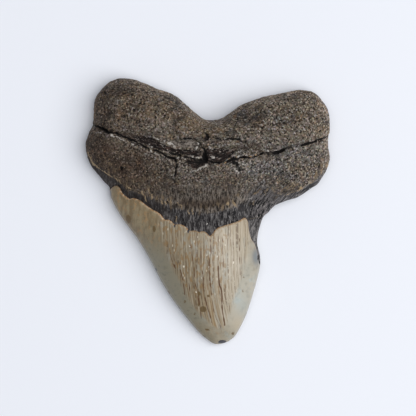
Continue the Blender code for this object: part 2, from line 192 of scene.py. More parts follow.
def plan(crack, neck, enamel, shoulder, edge):
    """Five Coons patches under each other. Returns the places in squares, the share across of each column,
    and the level of each row: 0 at the root's top, 1 crack, 2 neck, 3 enamel's edge, 4 break, 5 tip."""
    across = crowded(COLUMNS, COLUMN_CROWDING)
    split = 2 * (np.argmin(abs(across - BREAK_COLUMN)) // 2)
    across[split] = BREAK_COLUMN
    west = across[:split + 1] / BREAK_COLUMN
    east = (across[split:] - BREAK_COLUMN) / (1 - BREAK_COLUMN)
    left, right = curve(LEFT), curve(RIGHT)
    rows = [along(curve(line), across) for line in (TOP, crack, neck)]
    for line, end in ((enamel, shoulder), (BREAK_ROW, BREAK_FOOT)):
        rows.append(np.vstack([along(curve(line), west), along(curve(end), east)[1:]]))
    rows.append(along(curve(TIP), across))
    strips, levels = [], []
    for number, count in enumerate(STRIP_ROWS):
        top, bottom, down = rows[number], rows[number + 1], crowded(count + 1, ROW_CROWDING)
        sides = [between(side, top[end], bottom[end], down) for side, end in ((left, 0), (right, -1))]
        if number == BREAK_STRIP:
            middle = between(curve(edge), top[split], bottom[split], down)
            strip = np.concatenate([
                patch(top[:split + 1], bottom[:split + 1], sides[0], middle, west, down),
                patch(top[split:], bottom[split:], middle, sides[1], east, down)[:, 1:]], axis=1)
        else:
            strip = patch(top, bottom, *sides, across, down)
        skip = 0 if number == 0 else 1
        strips.append(strip[skip:])
        levels.append(number + down[skip:])
    return np.concatenate(strips), across, np.concatenate(levels)


print("rows of a lattice:", sum(STRIP_ROWS) + 1, " columns:", COLUMNS)


# %% Both lattices in millimetres
def millimetres(squares):
    """Plan squares as millimetres from the plan's centre, with y up, towards the root."""
    return (np.asarray(squares, float) - PLAN_CENTRE) * (SQUARE, -SQUARE)


upper_plan, across, down = plan(*UPPER_LINES)
upper = millimetres(upper_plan)
down = down[:, None] + 0 * across
lower = millimetres(plan(*LOWER_LINES)[0])[::2, ::2]
lower_down = down[::2, ::2]
print("upper lattice:", upper.shape[:2], " lower lattice:", lower.shape[:2])


# %% [markdown]
# ## Distances, ramps and marks
# Much of the tooth's form depends on how far a place is from a line: the rim is round, cracks are narrow,
# dust gathers beside them. One function that measures the distance from every lattice point to a line of
# points serves all of these. A ramp fades one thing into another, and soft strokes and spots are the marks
# that everything irregular is drawn with.
# %% Distance and blending helpers
def distance(places, line):
    """For each stretch of the line, the nearest point is a share of the way along it, held within 0 and 1;
    the smallest of those distances is kept."""
    nearest = np.full(places.shape[:-1], np.inf)
    for a, b in zip(line[:-1], line[1:]):
        run = b - a
        share = np.clip(((places - a) @ run) / max(run @ run, 1e-9), 0, 1)
        nearest = np.minimum(nearest, np.linalg.norm(places - a - share[..., None] * run, axis=-1))
    return nearest


def smoothstep(t):
    """0 below 0, 1 above 1, and 3t^2 - 2t^3 between."""
    t = np.clip(t, 0, 1)
    return t * t * (3 - 2 * t)


def ramp(value, start, end):
    """0 where the value is at the start, 1 where it is at the end, and a smoothstep between; the end may be
    the smaller one."""
    return smoothstep((value - start) / (end - start))


def bell(gap, width):
    """A Gaussian: 1 where the gap is 0, and 1/e where it is one width."""
    return np.exp(-(gap / width)**2)


print("a quarter of the way up a ramp:", ramp(0.25, 0, 1), " one width down a bell:", round(bell(1, 1), 3))


# %% Soft marks
def stroke(places, points, width):
    """A soft pencil stroke: 1 on the line through the points, and a bell of this width beside it."""
    return bell(distance(places, millimetres(curve(points, 4))), width)


def spot(places, centre, radii, power=2):
    """A soft round spot about a plan point: 1 at its centre and 1/e at its radii, with a flatter top and a
    steeper side where the power is higher."""
    gap = np.linalg.norm((places - millimetres(centre)) / np.asarray(radii, float), axis=-1)
    return np.exp(-gap**power)


def strokes(places, marks):
    """The sum of soft strokes, each given as its points, its width in millimetres and its strength."""
    return sum(strength * stroke(places, points, width) for points, width, strength in marks)


def spots(places, marks, power=2):
    """The sum of soft spots, each given as its place, its radii in millimetres and its strength."""
    return sum(strength * spot(places, place, radii, power) for place, radii, strength in marks)


OUTLINE = millimetres(np.vstack([curve(line, 5) for line in (TOP, RIGHT, TIP[::-1], LEFT[::-1])]))
NEVER_ZERO = 1e-6
rim, lower_rim = distance(upper, OUTLINE), distance(lower, OUTLINE)
from_left = distance(upper, millimetres(curve(LEFT, 5))) + NEVER_ZERO
from_right = distance(upper, millimetres(curve(RIGHT, 5))) + NEVER_ZERO
print("the plan is", round(2 * float(rim.max()), 1), "mm across at its widest")

# %% [markdown]
# ## The body's form
# The root is thick and round-edged, thickest in its bulge under the hollow. The crown is full along its
# middle and thin at its edges. The lower face is flat, so that the tooth lies still. The root's
# thickness is an average of a few posts, like tent poles under a cloth, and the crown's height is a dome
# across times a profile along. A sculpted mesh would do as well, but a formula stays editable.
# %% Thickness and levels
# In millimetres: each post stands at x and y and has a thickness, and each level goes with a y. The relief
# rises a little above the bulge, so the bulge is that much lower than the model's box.
POSTS = np.array([
    (2, 34, 19), (2, 27, 23.5), (2, 19, 26), (0, 10, 24), (-2, 2, 20.5), (-3, -5, 18.5), (-4, -12, 17.5),
    (-20, 42, 19), (-20, 22, 22), (-36, 50, 16), (-38, 34, 18), (-38, 18, 16.5), (-50, 40, 13.5),
    (-50, 24, 12.5), (-42, 10, 10.5), (-28, 5, 15), (-14, 0, 18), (22, 40, 18), (24, 22, 21),
    (38, 46, 16), (40, 30, 17), (38, 14, 15), (51, 34, 13.5), (50, 20, 12), (26, 4, 13), (14, 2, 18)], float)
BULGE = np.array([2, 19], float)
POST_REACH = 8
RELIEF_ABOVE = 0.6
BULGE_THICKNESS = SIZE.z - RELIEF_ABOVE
RIM_LEVELS = np.array([(-60, 2.6), (-45, 3.8), (-25, 4.2), (0, 4.4), (20, 3.6), (60, 3.4)], float)
CROWN_LEVELS = np.array([(-59.5, 0.3), (-57, 1.8), (-50, 4.9), (-40, 9), (-30, 12), (-20, 13.8),
                         (-11, 14.2), (20, 14)], float)
ROOT_ROUNDING, LOWER_ROUNDING = 11.5, 9
DOME_POWER = 0.7
NECK_HOLLOW = 0.7
FLAT_BELOW = 0.03
print("posts:", len(POSTS), " thickest:", round(BULGE_THICKNESS, 2), "mm")


# %% Averages and rounded edges
def blended_posts(places):
    """Each post's thickness weighs by a Gaussian of its distance, with a trace more so that the weights
    never add up to nothing."""
    square_gaps = ((places[..., None, :] - POSTS[:, :2])**2).sum(axis=-1)
    weight = np.exp(-square_gaps / (2 * POST_REACH**2)) + 1e-9
    return (weight * POSTS[:, 2]).sum(axis=-1) / weight.sum(axis=-1)


def quarter_round(share):
    """A quarter ellipse, the square root of 1 - (1 - t)^2: steep at 0 and level from 1 on."""
    return np.sqrt(1 - (1 - np.clip(share, 0, 1))**2)


def meeting(heights, edge):
    """The lattice's border set to the rim's own level, where the two faces meet."""
    heights[[0, -1]] = edge[[0, -1]]
    heights[:, [0, -1]] = edge[:, [0, -1]]
    return heights


print("halfway across a rounded edge, the height is", round(float(quarter_round(0.5)), 3), "of the full one")

# %% Heights of both faces
edge = np.interp(upper[..., 1], *RIM_LEVELS.T)
thickness = blended_posts(upper) * BULGE_THICKNESS / blended_posts(BULGE)
root_height = edge + (thickness - edge) * quarter_round(rim / ROOT_ROUNDING)
crown_share = from_left / (from_left + from_right)
dome = (4 * crown_share * (1 - crown_share))**DOME_POWER
crown_height = edge + np.interp(upper[..., 1], *CROWN_LEVELS.T) * dome
height = meeting(root_height + (crown_height - root_height) * ramp(down, 1.9, 3.1), edge)

lower_edge = np.interp(lower[..., 1], *RIM_LEVELS.T)
lower_height = lower_edge * (1 - quarter_round(lower_rim / LOWER_ROUNDING))
lower_height += NECK_HOLLOW * bell(lower[..., 1] - 1, 7) * bell(lower[..., 0], 30)
lower_height = meeting(np.where(lower_height < FLAT_BELOW, 0, lower_height), lower_edge)
print("highest point before the relief:", round(float(height.max()), 2), "mm")


# %% [markdown]
# ## Noise that belongs to the stone
# Lumps, pores and fibres are random but smooth. Value noise is the simplest kind: random heights at the
# corners of cubes, blended between. It is worked out in space, not on the plan, so it doesn't stretch on
# the root's steep sides, and a fixed seed gives the same tooth every time.
# %% Lumps and pores
# The random tables repeat after this many cubes.
CUBES = 32


def lumps(places, size, seed):
    """Value noise from -1 to 1: a table of random heights at the corners of cubes of this size, blended by
    a smoothstep along each axis."""
    table = np.random.default_rng(seed).uniform(-1, 1, (CUBES, CUBES, CUBES))
    cell = np.floor(places / size).astype(int)
    share = smoothstep(places / size - cell)
    total = np.zeros(places.shape[:-1])
    for corner in itertools.product((0, 1), repeat=3):
        weight = np.where(corner, share, 1 - share).prod(axis=-1)
        total += weight * table[tuple(np.moveaxis((cell + corner) % CUBES, -1, 0))]
    return total


def pores(places, size, radius, seed):
    """Round pits: every cube of this size holds one point at a random place, with a random strength, and a
    pit is a steep bell of the given radius about it."""
    table = np.random.default_rng(seed).uniform(0, 1, (CUBES, CUBES, CUBES, 4))
    cell = np.floor(places / size).astype(int)
    deepest = np.zeros(places.shape[:-1])
    for corner in itertools.product((-1, 0, 1), repeat=3):
        holder = table[tuple(np.moveaxis((cell + corner) % CUBES, -1, 0))]
        gap = np.linalg.norm(places - (cell + corner + holder[..., :3]) * size, axis=-1)
        deepest = np.maximum(deepest, smoothstep(holder[..., 3] * 2 - 1) * np.exp(-(gap / radius)**4))
    return deepest


print("noise at three places:", np.round(lumps(np.array([[0, 0, 0], [1.2, 4, 2], [9, 9, 9]]), 4.0, 1), 3))

# %% [markdown]
# ## Directions that fibres and lines follow
# The neck's fibres stand upright, and on the right they curve out from the notch over the shoulder. The
# enamel's fine lines run straight down it and then bend towards the tip. A single number, the flow, stays
# the same along such a line and changes across it, by one for each millimetre or so, so that a texture
# that reads it comes out as long strands. A UV map could carry the same, but it would need cutting open.
# %% The flow
# Places and lengths in squares, apart from the fan's radius and the lower crown's width, in millimetres.
NOTCH_FOOT, FIBRE_REACH, FIBRE_BEND = 222, 44, 0.016
UPRIGHT_TO, BENT_FROM = 232, 256
SEARCH_LEFT, HALVINGS = 32, 16
LINES_BEND, LINE_DRIFT = 262, 0.0022
STRAIGHT_FROM, DRIFTING_TO = 252, 222
LOBES_FROM, FAN_RADIUS, FAN_GAP = (208, 148), 60, 12
LOWER_CROWN_WIDTH = 48


def root_flow(squares):
    """A fibre that starts at s below the notch runs up along x = s + k (foot - y)^2, where k grows from 0 to
    the full bend with s. The start of the fibre through each place is found by halving the stretch it lies
    in."""
    up = np.clip(NOTCH_FOOT - squares[..., 1], 0, FIBRE_REACH)**2
    near, far = squares[..., 0] - SEARCH_LEFT, squares[..., 0]
    for _ in range(HALVINGS):
        start = (near + far) / 2
        beyond = start + FIBRE_BEND * ramp(start, UPRIGHT_TO, BENT_FROM) * up > squares[..., 0]
        near, far = np.where(beyond, near, start), np.where(beyond, start, far)
    return far * SQUARE


def enamel_flow(squares):
    """Straight down to the bend, then drifting right by the square of the way below it."""
    below = np.maximum(squares[..., 1] - LINES_BEND, 0)
    drift = LINE_DRIFT * below**2 * ramp(squares[..., 0], STRAIGHT_FROM, DRIFTING_TO)
    return (squares[..., 0] - drift) * SQUARE


def lobe_flow(squares):
    """The fan's radius times the angle, in radians, about the notch: the same all along a line out from
    there."""
    away = np.abs(squares[..., 0] - LOBES_FROM[0]) + FAN_GAP
    return FAN_RADIUS * np.arctan2(LOBES_FROM[1] - squares[..., 1], away)


flow = np.where(down < 3, root_flow(upper_plan), enamel_flow(upper_plan))
flow = np.where((down < 4) & (across > BREAK_COLUMN), root_flow(upper_plan), flow)
lower_flow = np.where(lower_down < 3, lower[..., 0], across[::2] * LOWER_CROWN_WIDTH)
print("the flow runs from", round(float(flow.min()), 1), "to", round(float(flow.max()), 1), "mm")

# %% [markdown]
# ## Cracks, ledges and the torn hollow
# The long crack crosses the whole root. In the middle the bone has torn open along it and left a hollow
# with splintered ledges round a dark foramen, the hole where a vessel entered. Each crevice is a pencil
# stroke with a width and a depth, and each splinter a stroke with a height. A bump in the material could
# feign them, but a real groove casts a real shadow, so they are pressed into the mesh itself.
# %% Crevices
# Each crevice has its points in squares, and its width and its depth in millimetres.
CREVICES = [
    ([(92.1, 125), (96, 126.2), (100.7, 128.4), (105.1, 130.8), (108.4, 132.4), (112.3, 133), (116.8, 134.1),
      (120.1, 135.2), (124, 136.8), (128.4, 139.3), (131.8, 140.6), (137.3, 143.2), (141.2, 144.8),
      (145.6, 147.4), (149.6, 149)], 0.46, 1.7),
    ([(101, 128.4), (105, 131.4), (109, 132.6)], 0.7, 1.0),
    ([(153.9, 150.2), (156.7, 151.3), (159.4, 152.9), (162.8, 154.3), (166.1, 156.6), (170, 158.8),
      (174.4, 159.4), (178, 161.6)], 0.46, 1.6),
    ([(168.9, 154.1), (172.2, 154.6), (175.6, 155.2), (177, 153.4)], 0.5, 1.1),
    ([(178.8, 156), (180.6, 156.6)], 0.6, 1.2),
    ([(185.6, 157.7), (188.9, 158.2), (192, 158.9), (196, 160.4), (201, 160.8)], 0.55, 1.2),
    ([(187.8, 161.8), (193, 163), (199, 163.6), (205, 163)], 0.6, 0.9),
    ([(171.7, 139.9), (177.2, 140.3), (185.6, 139.4), (192.2, 139.2), (196.1, 140), (198.9, 142.7),
      (201.2, 145.4), (202, 148)], 0.4, 0.9),
    ([(205.6, 133.2), (207.6, 136), (207.6, 139.3), (204.6, 141)], 0.6, 1.0),
    ([(203.4, 149), (204.8, 153), (204.8, 157), (206.2, 161)], 0.7, 1.6),
    ([(210, 161.4), (215, 162.8), (221, 162.8), (225, 161.4)], 0.6, 1.1),
    ([(176.9, 161.6), (177.2, 166), (176.1, 170.4), (175.6, 177)], 0.48, 1.3),
    ([(227.8, 162), (233.8, 159.9)], 0.5, 1.5),
    ([(236, 159.5), (239.9, 158.2), (244.9, 158)], 0.54, 1.6),
    ([(244.9, 158.2), (252, 157.4), (258, 155.4), (263.2, 153.9)], 0.42, 1.1),
    ([(267, 154.2), (273.8, 152.9), (279, 151.9), (284, 150.6)], 0.58, 2.3),
    ([(285.9, 149.6), (291.4, 148.3), (294.8, 147.2), (299.8, 146)], 0.46, 1.1),
    ([(299.8, 146), (304.8, 144.9), (308.1, 144.7), (312, 143.2), (315.3, 141.6)], 0.5, 1.6),
    ([(315.3, 141.6), (319.2, 140.4), (322, 139.9), (325.9, 137.4), (328.8, 136.4)], 0.5, 1.2),
    ([(265.3, 157.1), (270.9, 156.6), (275.9, 154.4), (279.8, 152.8)], 0.5, 0.8),
    ([(267.8, 149.6), (270.6, 148.6), (273, 147.4)], 0.85, 1.4),
    ([(233.6, 163.6), (237.4, 166), (240.2, 170.8)], 0.75, 1.3),
    ([(231.6, 138.2), (234.9, 140.2), (239.9, 140.4), (243.2, 141.6), (246.6, 142.7)], 0.5, 1.0),
    ([(249.6, 144.2), (255, 144.6), (263.8, 141.8)], 0.42, 0.9),
    ([(216, 139.4), (223, 140), (231, 139.4)], 0.4, 0.85),
    ([(289.8, 131), (295.3, 129.3)], 0.4, 0.5),
    ([(313.1, 153.8), (318.1, 152.7), (323.7, 151)], 0.35, 0.5),
    ([(120.1, 141), (124, 143.2), (127.3, 143.8)], 0.35, 0.5),
    ([(137, 112.6), (142.6, 115.6)], 0.4, 0.4),
]
print("crevices:", len(CREVICES))

# %% Lips
# A lip is the worn edge of a splinter: its points in squares, and its width and its rise in millimetres.
LIPS = [
    ([(107.9, 134.5), (111.8, 135.2), (115.1, 137.7)], 0.5, 0.6),
    ([(118.4, 137.9), (122.9, 140.2), (126.8, 142.1), (131.2, 144.3), (134, 145.8)], 0.45, 0.5),
    ([(96.8, 133.4), (101.8, 133.8)], 0.5, 0.3),
    ([(137.9, 146.6), (142.3, 148.2), (146.8, 150.4)], 0.4, 0.6),
    ([(152.6, 151.8), (156.6, 153.6), (160, 155.2)], 0.4, 0.5),
    ([(150, 144.6), (152.6, 146.6)], 0.4, 0.5),
    ([(154.4, 137.1), (156.7, 139.3), (161.1, 140.4), (165.6, 141.2), (168.9, 142.9), (172.2, 145.1),
      (175.6, 147.7)], 0.42, 0.6),
    ([(198.9, 144), (199, 146.6), (196.1, 149.3)], 0.5, 0.6),
    ([(191.7, 156.3), (195.6, 157.9), (198.9, 157.3), (202.8, 158.8)], 0.5, 0.8),
    ([(178.3, 158.8), (182.8, 158.2), (185, 159.9), (186.7, 162.1)], 0.36, 0.5),
    ([(192.8, 171.6), (196.7, 171.1), (200.6, 169.3), (205, 167.1), (208.9, 166)], 0.5, 0.4),
    ([(208.8, 148.2), (211.4, 149.8), (214.3, 149.9), (218.2, 151.3)], 0.4, 0.5),
    ([(209.3, 156), (212.6, 157.6), (215.4, 158.2)], 0.45, 0.7),
    ([(214.8, 164.6), (217.4, 166.4)], 0.4, 0.4),
    ([(234.9, 157.7), (239.3, 155.6), (243.8, 155), (246, 156.4)], 0.42, 0.7),
    ([(236.6, 152.2), (239.9, 152.8), (242.7, 153)], 0.45, 0.5),
    ([(257.1, 153.2), (262.7, 152.1), (267.1, 151.6), (273.8, 150.8), (280, 149.8)], 0.4, 0.5),
    ([(230.4, 166.4), (234.9, 170.4), (239.3, 173.8), (241.6, 175.2)], 0.45, 0.5),
    ([(237.4, 163.2), (243.8, 164.9)], 0.4, 0.4),
]
print("lips:", len(LIPS))

# %% Torn surfaces, foramen, ledge and pits
# Each torn surface is a closed line of points and a depth, and each pit a place and a radius.
TORN = [
    ([(128, 137.6), (134, 136.2), (142, 136.2), (150, 136.8), (155, 138.8), (159.5, 141.6), (164, 144.4),
      (170, 146.2), (174.5, 148.8), (182, 150.2), (190, 150.4), (196, 150.6), (199.5, 149.4), (201.4, 153),
      (202, 157), (196, 157.4), (190, 156.4), (182, 155.6), (176, 154.2), (168, 153.6), (160, 151.4),
      (152, 148.6), (144, 145), (136, 141.4), (128, 137.6)], 1.2),
    ([(206.6, 147.6), (214, 149.2), (222, 149.4), (230, 149.2), (235, 152), (233.4, 156), (229, 159.6),
      (224, 162.4), (216, 164.2), (208, 163.8), (205, 158), (206.6, 147.6)], 1.4),
    ([(186, 158.8), (195, 159.8), (204, 160), (209, 164.4), (205, 166.6), (200, 168.8), (195.6, 170.8),
      (191.6, 170.6), (187.8, 167), (186, 162.6), (186, 158.8)], 1.1),
    ([(203.6, 131.6), (208, 133), (210, 139.4), (206, 141.6), (199.6, 141.4), (204, 137), (203.6, 131.6)],
     0.7),
]
FORAMEN = [(200.6, 147.4), (204.4, 147.6), (207.6, 150.4), (207, 155.6), (209.4, 160.4), (207, 162.8),
           (203.4, 161.8), (202, 157.4), (202.2, 152), (200.6, 147.4)]
LEDGE = [(171, 141), (178, 141.8), (188, 140.8), (196, 141.4), (199, 145.6), (196.4, 149), (188, 149),
         (180, 148.6), (174, 147.4), (169, 144.2), (171, 141)]
PITS = [((132.7, 94.2), 0.5), ((156.9, 103.5), 0.4), ((156.5, 112.3), 0.4), ((165.6, 116.2), 0.5),
        ((131.5, 148.5), 0.45), ((306.4, 136), 0.35), ((278.3, 108.5), 0.45), ((105.4, 93.1), 0.6),
        ((122, 169), 0.8), ((260.6, 154.6), 0.4), ((180, 156.3), 0.5), ((320.9, 131.6), 0.4)]
# The zone on both sides of the crack where the bone is splintered.
TORN_ZONE = [(112, 131), (124, 131), (140, 134), (156, 135), (172, 137), (200, 136), (214, 141), (235, 145),
             (262, 144), (285, 144), (303, 141), (303, 147), (276, 156), (250, 163), (244, 176), (235, 174),
             (222, 170), (205, 174), (188, 176), (174, 174), (162, 163), (148, 158), (130, 149), (112, 137),
             (112, 131)]
print("torn surfaces:", len(TORN), " pits:", len(PITS))


# %% Inside a closed line
def inside(places, loop):
    """Whether a closed line surrounds each place: it does where a ray to the right crosses it an odd number
    of times."""
    x, y = places[..., 0], places[..., 1]
    crossings = np.zeros(x.shape, int)
    for (x0, y0), (x1, y1) in zip(loop[:-1], loop[1:]):
        if y0 != y1:
            crossings += ((y0 > y) != (y1 > y)) & (x < x0 + (y - y0) * (x1 - x0) / (y1 - y0))
    return crossings % 2 == 1


def sunk(places, loop, wall):
    """How far a place is inside a closed line, from 0 on it to 1 at this many millimetres in."""
    line = millimetres(curve(loop, 5))
    return smoothstep(distance(places, line) / wall) * inside(places, line)


print("sunk at the foramen's middle:", round(float(sunk(millimetres([204.6, 154]), FORAMEN, 1.0)), 2))

# %% Depths and rises
# Torn edges are ragged, so the places are shaken along x and y, from a seed for each. Each shake has its
# reach, its size and what it adds to the seed. Lumps also make the crevices and lips uneven along their way.
SHAKES = [(0.45, 2.2, 0), (0.28, 1.0, 1), (0.16, 0.55, 7)]
SHAKE_SEEDS = (31, 43)
PIT_DEPTH, FORAMEN_DEPTH = 1.2, 1.6
solid = np.dstack([upper, height])
ragged = upper + np.dstack([sum(far * lumps(solid, size, seed + extra) for far, size, extra in SHAKES)
                            for seed in SHAKE_SEEDS])
crevice = strokes(ragged, CREVICES)
crevice *= np.clip(0.8 + 0.5 * lumps(solid, 1.5, 35) + 0.5 * lumps(solid, 4.0, 37), 0.1, 1.6)
crevice += sum(PIT_DEPTH * spot(upper, place, radius, 3) for place, radius in PITS)
lip = strokes(ragged, LIPS)
lip *= np.clip(0.75 + 1.1 * lumps(solid, 1.1, 36) + 0.5 * lumps(solid, 0.6, 38), 0.0, 1.4)
torn = [(sunk(ragged, loop, 0.9), depth) for loop, depth in TORN]
foramen, ledge = sunk(ragged, FORAMEN, 1.0), sunk(ragged, LEDGE, 0.6)
hollow = sum(cover * depth for cover, depth in torn) + FORAMEN_DEPTH * foramen
print("deepest crevice:", round(float(crevice.max()), 2), "mm; torn surfaces cover",
      round(100 * float((hollow > 0).mean()), 1), "% of the lattice")

# %% [markdown]
# ## Where each finish lies
# The tooth is one piece of stone with several skins: bare root, a smooth charcoal neck, fibres, enamel.
# Each skin is a mask, a number from 0 to 1 at every point, that both the relief and the materials read. It
# could be painted by hand as a vertex colour. Here the large areas are worked out from the pencil lines, so
# they stay in step with them, and small patches are spots and strokes put where they belong.
# %% The large areas of the root
# Ramps and bells on plan_x, plan_y or a height below a line are in squares, and those on x or rim in
# millimetres. The tan flecks cling along the fleck line, and the charcoal band starts below it.
x, y = upper[..., 0], upper[..., 1]
plan_x, plan_y = upper_plan[..., 0], upper_plan[..., 1]
FLECK_LINE = np.array([(84, 154), (88, 158), (95, 163), (101, 167), (108, 171), (115, 177), (120, 183),
                       (129, 188), (139, 192), (150, 197), (160, 202), (170, 206), (180, 209), (190, 211),
                       (206, 212), (222, 209), (234, 205), (244, 201), (254, 197), (266, 195), (278, 193.4),
                       (290, 191.4), (302, 187), (312, 181.4), (322, 173), (330, 166)], float)
wander = lumps(solid, 3.5, 11) + 0.5 * lumps(solid, 1.3, 12)
below_flecks = plan_y - np.interp(plan_x, *FLECK_LINE.T) + 2.2 * wander
below_crack = plan_y - np.interp(plan_x, *curve(CRACK).T)
# Bare bone and neck, the low strip where the shoulder broke off, and the part of the root above the crack.
bare = down < 3
broken = (down > 3) & (down < 4) & (across > BREAK_COLUMN)
strip = broken * ramp(down, 3, 3.3)
above_crack = 1 - ramp(down, 0.9, 1.3)
# The smooth neck band, darkest on the left, the flecks, and the fibres and wrinkles that run down to it.
charcoal = ramp(below_flecks, -0.5, 2.5) * (bare | broken)
band_left = ramp(plan_x, 182, 148) * charcoal
flecks = bell(below_flecks + 3, 5.5) * (1 - 0.6 * bell(plan_x - 206, 15)) * bare
fibres = ramp(plan_y - 0.0011 * (plan_x - 205)**2, 176, 200) * (bare | broken)
wrinkles = smoothstep(1.5 * spot(upper, (262, 205), (6.6, 8.4), 3)) * (bare | broken)
# Along the crack: grey ash, splintered and cooler bone, speckles and rust. Round the rim, bone rubbed pale.
ash = bell(below_crack - 9, 9) * smoothstep(0.5 + 1.2 * lumps(solid, 4.5, 15)) * bare
ash += 0.8 * spot(upper, (152, 129), (16, 3)) * bare
near_crack = sunk(ragged, TORN_ZONE, 2.5) * bare
cool = ramp(below_crack, 0, 12) * (0.35 + 0.65 * ramp(plan_x, 170, 230)) * bare
speckled = bell(below_crack - 2, 15) * ramp(plan_x, 104, 126) * (1 - 0.8 * ramp(plan_x, 255, 280)) * bare
rusted = bell(below_crack - 1, 2.2) * ramp(plan_x, 205, 225) * ramp(plan_x, 268, 258) * bare
rubbed = bell(rim, 2.8) * (0.4 + 0.6 * ramp(plan_x, 96, 112)) * (1 - 0.5 * bell(plan_x - 212, 26)) * bare
print("charcoal covers", round(100 * float(charcoal.mean()), 1), "% of the lattice")

# %% Darker and lighter patches of the root, and painted shade on its left side
# Each spot has its place in squares, its radii in millimetres and its strength, and each stroke has points,
# a width and a strength. The last stroke of the dark ones is a dark line in the neck band.
DARK_SPOTS = [((226, 180), (7, 9), 0.6), ((248, 118), (5, 8), 0.3), ((265, 156), (5, 3.6), 0.7),
              ((207, 170), (4, 3), 0.5), ((105, 130), (3, 2), 0.4)]
DARK_STROKES = [([(113, 133.5), (127, 136), (140, 139)], 1.3, 0.9),
                ([(233, 149.5), (246, 149), (258, 147.5)], 1.4, 0.8)]
BAND_STROKE = [(184, 203), (200, 204.5), (214, 203.5), (226, 201)]
LIGHT_SPOTS = [((150, 104), (12, 8), 1), ((290, 135), (13, 4.5), 1), ((176, 132), (6, 3), 1),
               ((268, 104), (8, 4), 1), ((296, 120), (3, 3), 1), ((258, 113), (4, 2.5), 1)]
RUSSET_SPOTS = [((102, 115), (3, 3.5), 1), ((104, 152), (5, 5), 1), ((128, 172), (8, 4), 1),
                ((138, 160), (6, 4), 1)]
OCHRE_SPOTS = [((300, 117.6), (2.0, 1.4), 1), ((150, 115), (3, 2), 1), ((208, 129), (9, 3), 0.45),
               ((188, 122), (7, 4), 0.45)]
SLATE_STROKES = [
    ([(116, 93), (128, 90)], 3.0, 1), ([(235, 126), (248, 115), (262, 105)], 0.9, 1),
    ([(243, 128), (256, 116)], 0.8, 1), ([(168, 98), (182, 108)], 1.6, 1), ([(186, 116), (176, 124)], 1.4, 1),
    ([(256, 120), (264, 115), (272, 112)], 1.6, 1), ([(288, 115), (296, 118)], 1.4, 1),
    ([(262, 132), (282, 124), (296, 121)], 0.8, 1), ([(246, 108), (238, 116)], 1.0, 1)]
COLD_STROKES = [([(236, 148), (262, 150), (292, 142)], 7, 1), ([(240, 163), (272, 166)], 6, 1)]
# Painted shade: the root is darkened towards the left, the side away from the window light, and more so below
# the crack. The first dark stroke is painted shade above the crack, where its upper edge overhangs. The dark
# spots and the band stroke are darker patches of bone.
shaded_side_and_dark_patches = ramp(x, 20, -55) * (0.5 + 0.5 * ramp(below_crack, 0, 14)) * bare
shaded_side_and_dark_patches += spots(upper, DARK_SPOTS) + strokes(ragged, DARK_STROKES) + 1.1 * stroke(upper, BAND_STROKE, 1.7)
lighter, russet = spots(upper, LIGHT_SPOTS) * bare, spots(upper, RUSSET_SPOTS) * bare
ochre = spots(upper, OCHRE_SPOTS)
slate = strokes(upper, SLATE_STROKES) * bare
cold_bone = np.clip(strokes(upper, COLD_STROKES), 0, 1) * bare
print("the dark side is darkest at", round(float(shaded_side_and_dark_patches.max()), 2))

# %% The masks of the enamel
# The fine lines lie between these two borders, given in squares.
LINES_LEFT = np.array([(158, 222), (161, 240), (166, 258), (172, 268), (177, 277), (183, 289), (189, 301),
                       (198, 313), (208, 322), (216, 330), (221, 336)], float)
LINES_RIGHT = np.array([(250, 222), (249, 240), (246.5, 258), (243, 272), (239, 284), (234, 298),
                        (230, 312), (227, 324), (223, 336)], float)
EDGE_LINE_WIDTH = 0.36
enamel = ((down >= 3) & ~broken).astype(float)
depth_in = distance(upper, millimetres(np.vstack([curve(ENAMEL, 5), curve(BREAK_EDGE, 5)])))
edge_line = bell(depth_in, EDGE_LINE_WIDTH) * enamel
from_lines_left = plan_x - np.interp(plan_y, LINES_LEFT[:, 1], LINES_LEFT[:, 0])
from_lines_right = np.interp(plan_y, LINES_RIGHT[:, 1], LINES_RIGHT[:, 0]) - plan_x
# The lined middle, its tinted top, the olive left flank and tip, and the brown near the torn edge.
middle = ramp(from_lines_left, -5, 11) * ramp(from_lines_right, -4, 8) * (1 - ramp(plan_y, 322, 334)) * enamel
tinted = ramp(plan_y, 256, 222) * ramp(plan_x, 200, 220) * enamel
olive = np.maximum(ramp(crown_share, 0.62, 0.12), 0.4 * ramp(plan_y, 318, 332)) * enamel
browned = olive * ramp(plan_y, 262, 222) + 0.6 * np.exp(-depth_in / 3) * enamel
browned += 0.4 * ramp(plan_y, 316, 328) * ramp(plan_x, 234, 218) * enamel
# The paler right side, three tinted patches near the tip, and the part where rust has crept in.
pale_side = ramp(plan_x, 200, 226) * enamel
golden = spots(upper, [((212, 314), (5, 11), 1), ((220, 330), (4, 4), 0.7)]) * enamel
bluish = 0.55 * spot(upper, (240, 302), (2.6, 5)) * enamel
creamy = 0.7 * spot(upper, (238, 325), (3, 4)) * enamel
rusty = ramp(from_lines_left, -2, 6) * ramp(plan_x, 238, 218) * ramp(plan_y, 310, 280) * enamel
print("the enamel's fine lines cover", round(100 * float(middle.mean()), 1), "% of the lattice")

# %% [markdown]
# ## Relief
# All of it is one number at each point: how far the point moves out along its normal. Lumps and pores
# roughen the root, fibres groove the neck, the enamel stands up as a thin shell with a rounded edge, and
# the shoulder where it broke off lies low. Most of it fades towards the rim, which both faces share. A
# Displace modifier could do the same, but numbers that the script adds itself can be checked on the way.
# %% The relief of the upper face
# Heights and depths in millimetres. The lumps are pairs of a height and a size, with a seed for each, and
# the knobs are two small swellings on the right, by the broken shoulder and under the lobe.
LUMPS = [(0.6, 9), (0.4, 4), (0.3, 2.2)]
PORE_DEPTH, SPLINTER_HEIGHT = 0.42, 0.35
FIBRE_HEIGHT, WRINKLE_HEIGHT, RIDGE_HEIGHT = 0.14, 0.3, 0.05
ENAMEL_THICKNESS, ENAMEL_ROUNDING, BREAK_DEPTH = 0.8, 0.9, 2.0
KNOBS = [((268.5, 211.5), (2.2, 2.2), 0.6), ((316.5, 184.5), (2.6, 2.6), 0.6)]
RIM_FADE = 1.5
rise = np.minimum(rim / RIM_FADE, 1)
